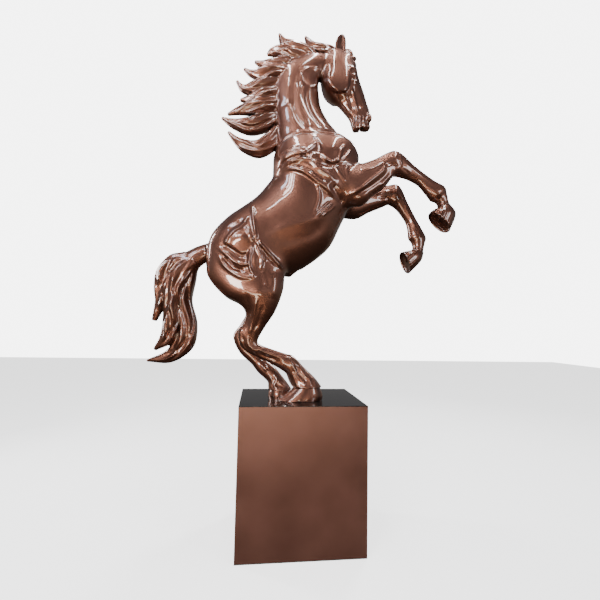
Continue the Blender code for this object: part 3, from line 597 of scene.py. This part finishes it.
def surface_net(grid, low, cell):
    """Vertices and quads of the zero surface of a grid."""
    inside = grid < 0
    nx, ny, nz = grid.shape
    corners = [(a, b, c) for a in (0, 1) for b in (0, 1) for c in (0, 1)]
    count = np.zeros((nx - 1, ny - 1, nz - 1), dtype=np.int8)
    for a, b, c in corners:
        count += inside[a:nx - 1 + a, b:ny - 1 + b, c:nz - 1 + c]
    mixed = (count > 0) & (count < 8)
    i, j, k = np.nonzero(mixed)
    number = np.full(mixed.shape, -1, dtype=np.int64)
    number[i, j, k] = np.arange(len(i))
    total = np.zeros((len(i), 3))
    crossings = np.zeros(len(i))
    for start in corners:
        for axis in range(3):
            if start[axis]:
                continue
            end = list(start)
            end[axis] = 1
            first = grid[i + start[0], j + start[1], k + start[2]]
            second = grid[i + end[0], j + end[1], k + end[2]]
            cut = (first < 0) != (second < 0)
            share = np.where(cut, first / np.where(cut, first - second, 1), 0)
            total += np.outer(cut, start)
            total[:, axis] += share
            crossings += cut
    points = total / crossings[:, None] + np.stack([i, j, k], axis=1)
    quads = []
    for axis in range(3):
        one, two = [other for other in range(3) if other != axis]
        first = np.take(inside, range(inside.shape[axis] - 1), axis=axis)
        second = np.take(inside, range(1, inside.shape[axis]), axis=axis)
        at = np.array(np.nonzero(first != second))
        keep = (at[one] > 0) & (at[two] > 0)
        keep &= (at[one] < grid.shape[one] - 1) & (at[two] < grid.shape[two] - 1)
        at = at[:, keep]
        leaving = first[tuple(at)]
        ring = []
        for shift_one, shift_two in ((1, 1), (0, 1), (0, 0), (1, 0)):
            cell_at = at.copy()
            cell_at[one] -= shift_one
            cell_at[two] -= shift_two
            ring.append(number[tuple(cell_at)])
        quad = np.stack(ring, axis=1)
        turn = leaving if axis != 1 else ~leaving
        quads.append(np.where(turn[:, None], quad, quad[:, ::-1]))
    return points * cell + low, np.concatenate(quads)


def slope_of(castings, points, reach=0.0015):
    """Gradient of the field by central differences."""
    slope = np.zeros(points.shape)
    for axis in range(3):
        shift = np.zeros(3)
        shift[axis] = reach
        slope[:, axis] = field(castings, points + shift) - field(castings, points - shift)
    return slope / (2 * reach)


def fit_to_surface(castings, points, cell):
    """Moves the points onto the surface by Newton steps, and gives the normals there."""
    for _ in range(FIT_STEPS):
        slope = slope_of(castings, points)
        size = np.maximum(np.sum(slope * slope, axis=1), 0.05)
        move = slope * (field(castings, points) / size)[:, None]
        length = np.linalg.norm(move, axis=1)
        limit = np.minimum(1.0, cell * 0.6 / np.maximum(length, 1e-9))
        points = points - move * limit[:, None]
    slope = slope_of(castings, points)
    return points, slope / np.maximum(np.linalg.norm(slope, axis=1), 1e-9)[:, None]


class Ball:
    """An ellipsoid added to a casting or, with a negative sign, hollowed out of it."""

    def __init__(self, name, centre, radii, angle, blend, sign=1):
        turn = math.radians(angle)
        self.name = name
        self.centre = centre
        self.radii = radii
        self.cos = math.cos(turn)
        self.sin = math.sin(turn)
        self.blend = blend
        self.sign = sign
        reach = max(radii) + blend + 0.02
        self.low = np.array(centre) - reach
        self.high = np.array(centre) + reach

    def distance(self, x, y, z):
        dx = x - self.centre[0]
        dz = z - self.centre[2]
        first, across, second = self.radii
        u = (dx * self.cos + dz * self.sin) / first
        w = (dz * self.cos - dx * self.sin) / second
        v = (y - self.centre[1]) / across
        q = np.sqrt(u * u + v * v + w * w) + 1e-6
        slope = np.sqrt((u / first) ** 2 + (v / across) ** 2 + (w / second) ** 2) / q
        return (q - 1.0) / np.maximum(slope, 1.0)


# ---------------------------------------------------------------- the horse

def build_castings():
    """The castings of the body and of the head, in the order in which they are blended."""
    flank = (Chasing(FLANK_MARKS + HIP_MARKS + COLLAR_SEAM), MID_Y)
    hip = (Chasing(HIP_MARKS), MID_Y)
    neck = (Chasing(NECK_MARKS + COLLAR_SEAM), MID_Y)
    head = (Chasing(HEAD_MARKS), MID_Y)
    thigh = Chasing(THIGH_MARKS)
    body = [
        Casting("trunk", sections(TRUNK), 0.03, chasing=(flank,)),
        Casting("neck", sections(NECK), 0.022, chasing=(neck,)),
        Casting("sheath", sections(SHEATH), 0.03),
        Casting("tail_root", sections(TAIL_ROOT), 0.03),
        Casting("hind_right", sections(HIND_RIGHT), 0.07,
                chasing=(hip, (thigh, -0.13), (Chasing(HIND_RIGHT_MARKS), -0.12))),
        Casting("hind_left", sections(HIND_LEFT), 0.07,
                chasing=(hip, (thigh, 0.10), (Chasing(HIND_LEFT_MARKS), 0.07))),
        Casting("fore_right", sections(FORE_RIGHT), 0.06,
                chasing=((Chasing(FORE_RIGHT_MARKS), -0.15),)),
        Casting("fore_left", sections(FORE_LEFT), 0.06,
                chasing=((Chasing(FORE_LEFT_MARKS), 0.125),)),
    ]
    skull = [Casting("head", sections(HEAD), 0.03, skew=0.10, chasing=(head,)),
             Casting("head", sections(CHEEKS), 0.007)]
    for side in (-1, 1):
        skull += [
            Ball("head", (0.374, MID_Y + side * 0.068, 2.480), (0.033, 0.024, 0.022), -62, 0.004),
            Ball("head", (0.510, MID_Y + side * 0.036, 2.180), (0.022, 0.024, 0.032), 20, 0.02),
            Ball("head", (0.512, MID_Y + side * 0.060, 2.185), (0.010, 0.014, 0.019), 25,
                 0.006, sign=-1),
        ]
    skull += [
        Ball("head", (0.500, MID_Y, 2.112), (0.030, 0.040, 0.024), 20, 0.02),
        Ball("head", (0.415, MID_Y, 2.098), (0.024, 0.036, 0.020), 10, 0.015),
        Ball("head", (0.455, MID_Y, 2.085), (0.010, 0.060, 0.022), -15, 0.008, sign=-1),
    ]
    curls = ((0.315, 2.702, 0.036), (0.352, 2.690, 0.033), (0.370, 2.652, 0.033),
             (0.382, 2.606, 0.029), (0.394, 2.560, 0.021))
    for index, (x, z, size) in enumerate(curls):
        for side in (-1, 1):
            y = MID_Y + side * (0.020 + 0.006 * (index % 2))
            skull.append(Ball("forelock", (x, y, z), (size * 1.25, size, size * 0.8),
                              35 + 70 * (index % 2), 0.012))
    return body, skull


def add_piece(name, points, faces, cavity_shade, bronze, normals=None):
    """A visible casting from points with heights above the plinth, in place of its node."""
    mesh = bpy.data.meshes.new("cast_" + name)
    mesh.from_pydata((np.array(points) + (0, 0, TOP)).tolist(), [], faces)
    mesh.update()
    mesh.polygons.foreach_set("use_smooth", [True] * len(mesh.polygons))
    # The painted shade for grooves and hollows is stored on the mesh here.
    layer = mesh.attributes.new("cavity_shade", "FLOAT", "POINT")
    layer.data.foreach_set("value", np.array(cavity_shade, dtype=np.float32))
    if normals is not None:
        mesh.normals_split_custom_set_from_vertices([tuple(n) for n in normals.tolist()])
    mesh.materials.append(bronze)
    item = bpy.data.objects.new("cast_" + name, mesh)
    bpy.context.collection.objects.link(item)
    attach(item, "root")
    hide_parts(name)


def sculpt(castings, cell, low, high):
    grid = sample_grid(castings, low, high, cell)
    points, quads = surface_net(grid, low, cell)
    points, normals = fit_to_surface(castings, points, cell)
    return points, normals, quads


def section_names(castings, points, quads):
    """The name of the piece that each quad belongs to."""
    middle = points[quads].mean(axis=1)
    castings = [casting for casting in castings if casting.sign > 0]
    _, owner = field(castings, middle, owners=True)
    names = np.array([casting.name for casting in castings], dtype=object)[owner]
    splits = {"trunk": ((4, "hindquarters"), (8, "barrel"), (math.inf, "chest"))}
    for side in ("right", "left"):
        splits["hind_" + side] = ((5, "hind_thigh_" + side), (math.inf, "hind_cannon_" + side))
        splits["fore_" + side] = ((6, "fore_arm_" + side), (math.inf, "fore_cannon_" + side))
    for casting in castings:
        if casting.name not in splits:
            continue
        mine = names == casting.name
        place, _ = casting.loft.locate(middle[mine, 0], middle[mine, 2])
        station = place / LOFT_STEPS
        labels = np.full(len(station), "", dtype=object)
        for limit, label in reversed(splits[casting.name]):
            labels[station < limit] = label
        names[mine] = labels
    return settled(names, quads)


def settled(names, quads):
    """Each quad takes the commonest name around its corners, so that no specks are left."""
    labels, code = np.unique(names.astype(str), return_inverse=True)
    for _ in range(3):
        votes = np.zeros((quads.max() + 1, len(labels)), dtype=np.int32)
        for corner in range(4):
            np.add.at(votes, (quads[:, corner], code), 1)
        code = np.argmax(votes[quads].sum(axis=1), axis=1)
    return labels[code].astype(object)


def without_specks(quads):
    """The quads of a piece without patches that are smaller than SPECK and stand alone."""
    patch = np.arange(len(quads))
    corners = quads.ravel()
    while True:
        lowest = np.full(quads.max() + 1, len(quads))
        np.minimum.at(lowest, corners, np.repeat(patch, 4))
        joined = lowest[quads].min(axis=1)
        joined = joined[joined]
        if np.array_equal(joined, patch):
            break
        patch = joined
    return quads[np.bincount(patch, minlength=len(quads))[patch] >= SPECK]


def cavity_shade_of(castings, points, normals, reach=0.014):
    """How far the field just outside the surface falls short of a flat one: grooves are high. The
    bronze paints shade into the grooves by this value.
    """
    outward = field(castings, points + normals * reach)
    return np.clip((reach - outward) / reach, 0.0, 1.0)


def build_horse(bronze):
    body, skull = build_castings()
    everything = body + skull
    low = np.array([-1.00, -0.32, -0.02])
    high = np.array([1.24, 0.28, 2.78])
    points, normals, quads = sculpt(everything, CELL, low, high)
    names = section_names(everything, points, quads)
    # Painted shade for the grooves and hollows of the body.
    cavity_shade = cavity_shade_of(everything, points, normals)
    for name in sorted(set(names)):
        if name in ("head", "forelock"):
            continue
        mine = names == name
        if name == "neck":
            # The neck's casting runs on under the head's, which is meshed more finely below.
            middle = points[quads].mean(axis=1)
            beyond = body[1].distance(*middle.T) - skull[0].distance(*middle.T)
            mine |= ((names == "head") & np.all(middle > (0.06, -1, 2.3), axis=1)
                     & (beyond < 1.5 * CELL))
        add_section(name, points, normals, quads[mine], cavity_shade, bronze)
    near = [body[1]] + skull
    low = np.array([0.04, -0.17, 2.02])
    high = np.array([0.58, 0.13, 2.78])
    points, normals, quads = sculpt(near, HEAD_CELL, low, high)
    names = section_names(near, points, quads)
    # Painted shade for the grooves and hollows of the head.
    cavity_shade = cavity_shade_of(near, points, normals, 0.008)
    for name in ("head", "forelock"):
        add_section(name, points, normals, quads[names == name], cavity_shade, bronze)


def add_section(name, points, normals, quads, cavity_shade, bronze):
    quads = without_specks(quads)
    used, index = np.unique(quads, return_inverse=True)
    faces = index.reshape(quads.shape).tolist()
    add_piece(name, points[used], faces, cavity_shade[used], bronze, normals[used])


# ---------------------------------------------------------------- hooves and ears

def tube_faces(rings, sides):
    """Quads between rings of points, with a cap on each end."""
    faces = []
    for ring in range(rings - 1):
        for step in range(sides):
            after = (step + 1) % sides
            faces.append((ring * sides + step, ring * sides + after,
                          (ring + 1) * sides + after, (ring + 1) * sides + step))
    faces.append(tuple(range(sides))[::-1])
    faces.append(tuple(range((rings - 1) * sides, rings * sides)))
    return faces


def build_hoof(name, table, hollow, flutes, bronze):
    """A fluted wall from the coronet to a rounded rim, and a sole with its frog, with painted shade
    in the flutes and on the sole.
    """
    sides = 96
    dense = interpolate(np.array(table) / MM, LOFT_STEPS)
    front, back = dense[:, 0:2], dense[:, 2:4]
    centre = (front + back) / 2
    reach = (front - back) / 2
    down = centre[-1] - centre[-2]
    inward = np.array([-reach[-1, 1], reach[-1, 0]]) / np.linalg.norm(reach[-1])
    inward *= -np.sign(inward @ down)
    rings = [(centre[k], reach[k], dense[k, 4], dense[k, 5], 1.0, 0.0, k / (len(dense) - 1))
             for k in range(len(dense))]
    last = (centre[-1], reach[-1], dense[-1, 4], dense[-1, 5])
    for scale, lift in ((0.985, -0.15), (0.955, -0.20), (0.930, 0.0), (0.910, 0.30),
                        (0.80, 0.70), (0.62, 0.90), (0.40, 1.0), (0.20, 1.0), (0.02, 1.0)):
        rings.append((*last, scale, lift * hollow, 1.0 if scale > 0.93 else 2.0))
    points, cavity_shade = [], []
    for middle, arm, y, half, scale, lift, stage in rings:
        for step in range(sides):
            angle = 2 * math.pi * step / sides
            c, w = math.cos(angle), math.sin(angle)
            stretch = (abs(c) ** 2.2 + abs(w) ** 2.2) ** (-1 / 2.2)
            groove = abs(math.cos(flutes * angle / 2 + 0.4 * math.sin(3 * angle))) ** 6
            size = scale * stretch * (1 - 0.028 * groove * min(stage, 1.0) * (stage <= 1))
            rise = lift
            if stage > 1:
                frog = max(0.0, 1 - abs(angle - math.pi) / 0.42) * min(1.0, (1 - scale) * 4)
                rise -= hollow * 0.55 * frog
            x, z = middle + arm * c * size + inward * rise
            points.append((x, y + half * w * size, z))
            # Painted shade: the flutes darken along their grooves, and the sole is darkened as the
            # shadow beneath the hoof.
            cavity_shade.append(0.5 * groove * (stage <= 1) + 0.45 * (stage > 1))
    add_piece(name, points, tube_faces(len(rings), sides), cavity_shade, bronze)


def build_ear(name, side, bronze):
    """A leaf-shaped ear, cupped towards the flank, with painted shade inside the cup."""
    rows = ((2612, 268, 30, 60), (2650, 268, 34, 64), (2690, 268, 40, 67), (2730, 269, 43, 70),
            (2770, 271, 40, 72), (2800, 274, 30, 73), (2815, 277, 18, 73), (2822, 278, 4, 73))
    sides = 32
    dense = interpolate(np.array(rows) / MM, 6)
    points, cavity_shade = [], []
    for z, x, half, offset in dense:
        for step in range(sides):
            angle = 2 * math.pi * step / sides
            c, w = math.cos(angle), math.sin(angle)
            cup = 0.75 * (1 - c * c) ** 1.5 if w > 0 else 0.0
            out = 0.62 * w - cup * 1.15 - 0.25 * c * c
            points.append((x + half * c, MID_Y + side * (offset + half * out), z))
            # Painted shade darkens the inside of the cup.
            cavity_shade.append(0.8 * cup)
    faces = tube_faces(len(dense), sides)
    if side < 0:
        faces = [face[::-1] for face in faces]
    add_piece(name, points, faces, cavity_shade, bronze)


# ---------------------------------------------------------------- hair

def comb_lock(name, table, mid_y, blend, shares, sway, width, height, seed):
    """A lock with wavy grooves combed down it, and a ridge beside each groove."""
    points = np.array(table) / MM
    path = points[:, 0:2]
    travel = np.gradient(path, axis=0)
    travel /= np.linalg.norm(travel, axis=1)[:, None]
    across = np.stack([-travel[:, 1], travel[:, 0]], axis=1)
    depth = points[:, 2:3]
    constant = np.ones((len(points), 1))
    rows = np.hstack([path + across * depth, path - across * depth, constant * mid_y,
                      points[:, 3:4], constant * 2.2])
    chasing = Chasing()
    for index, share in enumerate(shares):
        wave = [sway * math.sin(seed * 1.9 + index * 2.1 + row * 1.9)
                for row in range(len(points))]
        for shift, rise in ((0.0, -height), (width * 1.5, height * 0.55)):
            offset = share * points[:, 2] + wave + shift
            chasing.draw(path + across * offset[:, None], width, rise)
    return Casting(name, rows, blend, chasing=((chasing, mid_y),))


def build_hair(bronze):
    body, _ = build_castings()
    trunk, neck, _, root = body[0:4]
    mane = [comb_lock("mane_lock_%02d" % (index + 1), table,
                      MID_Y + 0.012 * math.cos(index * 2.4), 0.012,
                      (-0.45, 0.35), 0.014, 0.014, 0.013, index)
            for index, table in enumerate(MANE_LOCKS)]
    grow_locks([trunk, neck], mane, HAIR_CELL, bronze)
    tail = [comb_lock("tail_lock_" + name, table, mid / MM, 0.022,
                      (-0.55, 0.0, 0.5), 0.016, 0.016, 0.012, index + 4)
            for index, (name, mid, table) in enumerate(TAIL_LOCKS)]
    grow_locks([root], tail, HAIR_CELL, bronze)


def grow_locks(ground, locks, cell, bronze):
    """Mesh the locks together with what they grow from, and keep the locks."""
    low = np.min([lock.low for lock in locks], axis=0)
    high = np.max([lock.high for lock in locks], axis=0)
    castings = ground + locks
    points, normals, quads = sculpt(castings, cell, low, high)
    # Painted shade for the combed grooves of the hair.
    cavity_shade = cavity_shade_of(castings, points, normals, 0.010)
    middle = points[quads].mean(axis=1)
    edge = np.any((middle < low + 2 * cell) | (middle > high - 2 * cell), axis=1)
    base = field(ground, middle)
    best = np.full(len(middle), FAR)
    owner = np.full(len(middle), -1)
    for index, lock in enumerate(locks):
        near = np.all((middle > lock.low) & (middle < lock.high), axis=1)
        value = np.full(len(middle), FAR)
        value[near] = lock.distance(*middle[near].T)
        closer = value < best
        best = np.where(closer, value, best)
        owner = np.where(closer, index, owner)
    kept = (best < base + 1.6 * cell) & ~edge
    for index, lock in enumerate(locks):
        mine = kept & (owner == index)
        add_section(lock.name, points, normals, quads[mine], cavity_shade, bronze)


# ---------------------------------------------------------------- materials

def new_material(name):
    material = bpy.data.materials.new(name)
    material.use_nodes = True
    return material, material.node_tree


def finish_material(material, **inputs):
    """Sets the shader's inputs, to a constant or to a link, and returns the material."""
    tree = material.node_tree
    for name, value in inputs.items():
        set_input(tree, tree.nodes["Principled BSDF"].inputs[name.replace("_", " ")], value)
    return material


def set_input(tree, socket, value):
    if isinstance(value, bpy.types.NodeSocket):
        tree.links.new(value, socket)
    elif isinstance(value, tuple):
        socket.default_value = (*value, 1)
    else:
        socket.default_value = value


def noise_node(tree, scale, detail=4.0, stretch=(1, 1, 1)):
    """Noise over the surface, by its position."""
    place = tree.nodes.new("ShaderNodeNewGeometry").outputs["Position"]
    mapping = tree.nodes.new("ShaderNodeMapping")
    mapping.inputs["Scale"].default_value = stretch
    tree.links.new(place, mapping.inputs["Vector"])
    noise = tree.nodes.new("ShaderNodeTexNoise")
    noise.inputs["Scale"].default_value = scale
    noise.inputs["Detail"].default_value = detail
    tree.links.new(mapping.outputs["Vector"], noise.inputs["Vector"])
    return noise.outputs["Fac"]


def remap(tree, value, low, high, to_low=0, to_high=1):
    node = tree.nodes.new("ShaderNodeMapRange")
    tree.links.new(value, node.inputs["Value"])
    for name, number in (("From Min", low), ("From Max", high), ("To Min", to_low),
                         ("To Max", to_high)):
        node.inputs[name].default_value = number
    return node.outputs["Result"]


def mix_colour(tree, factor, first, second):
    node = tree.nodes.new("ShaderNodeMix")
    node.data_type = "RGBA"
    tree.links.new(factor, node.inputs["Factor"])
    first_colour, second_colour = node.inputs[6], node.inputs[7]
    set_input(tree, first_colour, first)
    set_input(tree, second_colour, second)
    return node.outputs[2]


def bump_node(tree, height, strength):
    bump = tree.nodes.new("ShaderNodeBump")
    bump.inputs["Strength"].default_value = strength
    bump.inputs["Distance"].default_value = 0.002
    tree.links.new(height, bump.inputs["Height"])
    return bump.outputs["Normal"]


def bronze_material():
    """Lacquered bronze: a satin metal under a clear glossy coat, darkened in the grooves by painted
    shade.
    """
    material, tree = new_material("lacquered_bronze")
    cloud = remap(tree, noise_node(tree, 2.2), 0.35, 0.65)
    colour = mix_colour(tree, cloud, (0.178, 0.068, 0.042), (0.242, 0.099, 0.065))
    # Painted shade: the attribute read here darkens the grooves and hollows towards a near-black
    # brown.
    cavity_shade = tree.nodes.new("ShaderNodeAttribute")
    cavity_shade.attribute_name = "cavity_shade"
    depth = remap(tree, cavity_shade.outputs["Fac"], 0.08, 0.75, 0, 0.9)
    normal = bump_node(tree, noise_node(tree, 9.0, 0.0), 0.05)
    return finish_material(
        material, Base_Color=mix_colour(tree, depth, colour, (0.035, 0.014, 0.009)),
        Metallic=0.85, Roughness=remap(tree, noise_node(tree, 38.0), 0.3, 0.7, 0.33, 0.40),
        Coat_Weight=1.0, Coat_Roughness=0.02, Coat_IOR=1.7, Normal=normal, Coat_Normal=normal)


def clouded_material(name, scale, detail, first, second, roughness, metallic, **inputs):
    """A metal whose colour and roughness drift between two values."""
    material, tree = new_material(name)
    cloud = noise_node(tree, scale, detail)
    colour = mix_colour(tree, remap(tree, cloud, 0.3, 0.7), first, second)
    return finish_material(material, Base_Color=colour, Metallic=metallic,
                           Roughness=remap(tree, cloud, 0.3, 0.7, *roughness), **inputs)


def sheet_material():
    """Bronze-coloured sheet: satin, softly clouded and faintly brushed."""
    material = clouded_material("bronze_sheet_satin", 2.6, 3.0, (0.190, 0.087, 0.067),
                                (0.240, 0.112, 0.088), (0.34, 0.46), 0.6)
    tree = material.node_tree
    grain = tree.nodes.new("ShaderNodeMath")
    grain.operation = "ADD"
    tree.links.new(noise_node(tree, 60.0, 3.0, (1, 1, 0.04)), grain.inputs[0])
    tree.links.new(noise_node(tree, 220.0, 2.0), grain.inputs[1])
    return finish_material(material, Normal=bump_node(tree, grain.outputs[0], 0.04))


def dress_plinth():
    """The plinth's top is polished and patinated almost black; what is inside is steel."""
    sheet = sheet_material()
    top = clouded_material("dark_polished_top", 5.0, 4.0, (0.035, 0.031, 0.031),
                           (0.070, 0.062, 0.062), (0.10, 0.17), 0.9)
    steel = clouded_material("galvanised_steel", 70.0, 3.0, (0.36, 0.37, 0.39),
                             (0.55, 0.56, 0.58), (0.35, 0.52), 1.0)
    for name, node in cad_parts.items():
        if name.startswith("plinth_panel"):
            material = sheet
        elif name == "plinth_top_plate":
            material = top
        elif name.startswith(("plinth_", "mounting_plate", "armature_")):
            material = steel
        else:
            continue
        for slot in node.material_slots:
            slot.material = material


# ---------------------------------------------------------------- studio

def area_light(name, location, target, size, watts, colour=(1, 1, 1)):
    data = bpy.data.lights.new(name, "AREA")
    data.shape = "RECTANGLE"
    data.size, data.size_y = size
    data.energy = watts
    data.color = colour
    item = bpy.data.objects.new(name, data)
    item.location = location
    back = Vector(location) - Vector(target)
    item.rotation_euler = back.normalized().to_track_quat("Z", "Y").to_euler()
    bpy.context.collection.objects.link(item)


def build_floor():
    material, tree = new_material("pale_floor")
    colour = mix_colour(tree, noise_node(tree, 1.5, 3.0), (0.88, 0.88, 0.88),
                        (0.93, 0.93, 0.93))
    finish_material(material, Base_Color=colour, Roughness=0.85, Emission_Color=(1, 1, 1),
                    Emission_Strength=2.0)
    half = 14
    mesh = bpy.data.meshes.new("studio_floor")
    mesh.from_pydata([(-half, -half, 0), (half, -half, 0), (half, half, 0), (-half, half, 0)],
                     [], [(0, 1, 2, 3)])
    floor = bpy.data.objects.new("studio_floor", mesh)
    floor.location = (0, 0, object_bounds()[0][2])
    floor.visible_glossy = False
    floor.visible_diffuse = False
    mesh.materials.append(material)
    bpy.context.collection.objects.link(floor)


def build_world():
    """White behind the object; its reflections see a dim room that darkens below."""
    world = bpy.data.worlds.new("studio")
    bpy.context.scene.world = world
    world.use_nodes = True
    tree = world.node_tree
    nodes, links = tree.nodes, tree.links
    seen = nodes["Background"]
    seen.inputs["Color"].default_value = (1, 1, 1, 1)
    seen.inputs["Strength"].default_value = 6.0
    room = nodes.new("ShaderNodeBackground")
    coordinate = nodes.new("ShaderNodeTexCoord")
    split = nodes.new("ShaderNodeSeparateXYZ")
    links.new(coordinate.outputs["Generated"], split.inputs[0])
    ramp = nodes.new("ShaderNodeValToRGB")
    stops = ramp.color_ramp.elements
    stops[0].position = 0.0
    stops[0].color = (0.010, 0.010, 0.010, 1)
    stops[1].position = 1.0
    stops[1].color = (0.070, 0.072, 0.080, 1)
    for place, shade in ((0.30, (0.020, 0.018, 0.016)), (0.44, (0.200, 0.165, 0.130)),
                         (0.56, (0.210, 0.205, 0.205)), (0.75, (0.085, 0.088, 0.098))):
        stops.new(place).color = (*shade, 1)
    height = remap(tree, split.outputs["Z"], -1.0, 1.0)
    links.new(height, ramp.inputs["Fac"])
    links.new(ramp.outputs["Color"], room.inputs["Color"])
    path = nodes.new("ShaderNodeLightPath")
    mix = nodes.new("ShaderNodeMixShader")
    links.new(path.outputs["Is Camera Ray"], mix.inputs["Fac"])
    links.new(room.outputs[0], mix.inputs[1])
    links.new(seen.outputs[0], mix.inputs[2])
    links.new(mix.outputs[0], nodes["World Output"].inputs["Surface"])


def build_lights():
    middle = (0.0, 0.0, 2.4)
    for index, (x, width) in enumerate(((-3.4, 0.30), (-2.6, 0.45), (-1.9, 0.16))):
        area_light("key_window_%d" % (index + 1), (x, -3.6, 5.0), middle, (width, 1.5),
                   105 * width, (0.96, 0.97, 1.0))
    area_light("blue_window", (-2.5, -1.8, 4.8), (0, -0.1, 3.0), (0.45, 0.9), 20,
               (0.62, 0.78, 1.0))
    area_light("floor_bounce", (-0.4, -3.6, 0.6), (-0.2, 0, 1.6), (2.6, 0.40), 34,
               (1.0, 0.84, 0.62))
    area_light("side_softbox", (-2.4, -4.2, 2.1), (-0.2, 0, 1.5), (1.5, 0.9), 120,
               (1.0, 0.95, 0.90))
    area_light("fill_softbox", (3.4, -3.6, 3.0), middle, (0.8, 2.4), 55, (0.92, 0.95, 1.0))
    area_light("rim_softbox", (2.6, 3.0, 4.6), middle, (1.0, 2.2), 160)
    area_light("rear_strip", (-3.6, 1.6, 3.0), middle, (0.4, 3.0), 110)
    for index, x in enumerate((-1.2, 0.2, 1.6)):
        area_light("ceiling_strip_%d" % (index + 1), (x, -0.8, 6.2), (x, -0.6, 0),
                   (0.16, 3.6), 70, (0.95, 0.98, 1.0))


def build_camera():
    yaw, pitch, roll = (math.radians(angle) for angle in (-6.39, 4.04, 1.10))
    level_right = Vector((math.cos(yaw), math.sin(yaw), 0))
    level_forward = Vector((-math.sin(yaw), math.cos(yaw), 0))
    up = Vector((0, 0, 1))
    forward = level_forward * math.cos(pitch) + up * math.sin(pitch)
    over = up * math.cos(pitch) - level_forward * math.sin(pitch)
    right = level_right * math.cos(roll) + over * math.sin(roll)
    over = over * math.cos(roll) - level_right * math.sin(roll)
    data = bpy.data.cameras.new("camera")
    data.lens = 22.35
    data.sensor_width = 36
    camera = bpy.data.objects.new("camera", data)
    camera.matrix_world = Matrix((
        (right.x, over.x, -forward.x, -0.3204),
        (right.y, over.y, -forward.y, -2.8161),
        (right.z, over.z, -forward.z, 1.5022),
        (0, 0, 0, 1)))
    bpy.context.collection.objects.link(camera)
    bpy.context.scene.camera = camera


BRONZE = bronze_material()
build_horse(BRONZE)
build_hair(BRONZE)
build_hoof("fore_hoof_right", FORE_RIGHT_HOOF, 0.018, 26, BRONZE)
build_hoof("fore_hoof_left", FORE_LEFT_HOOF, 0.018, 26, BRONZE)
build_hoof("hind_hoof_right", HIND_RIGHT_HOOF, 0.0, 8, BRONZE)
build_hoof("hind_hoof_left", HIND_LEFT_HOOF, 0.0, 8, BRONZE)
build_ear("ear_right", -1, BRONZE)
build_ear("ear_left", 1, BRONZE)
dress_plinth()
build_floor()
build_world()
build_lights()
build_camera()
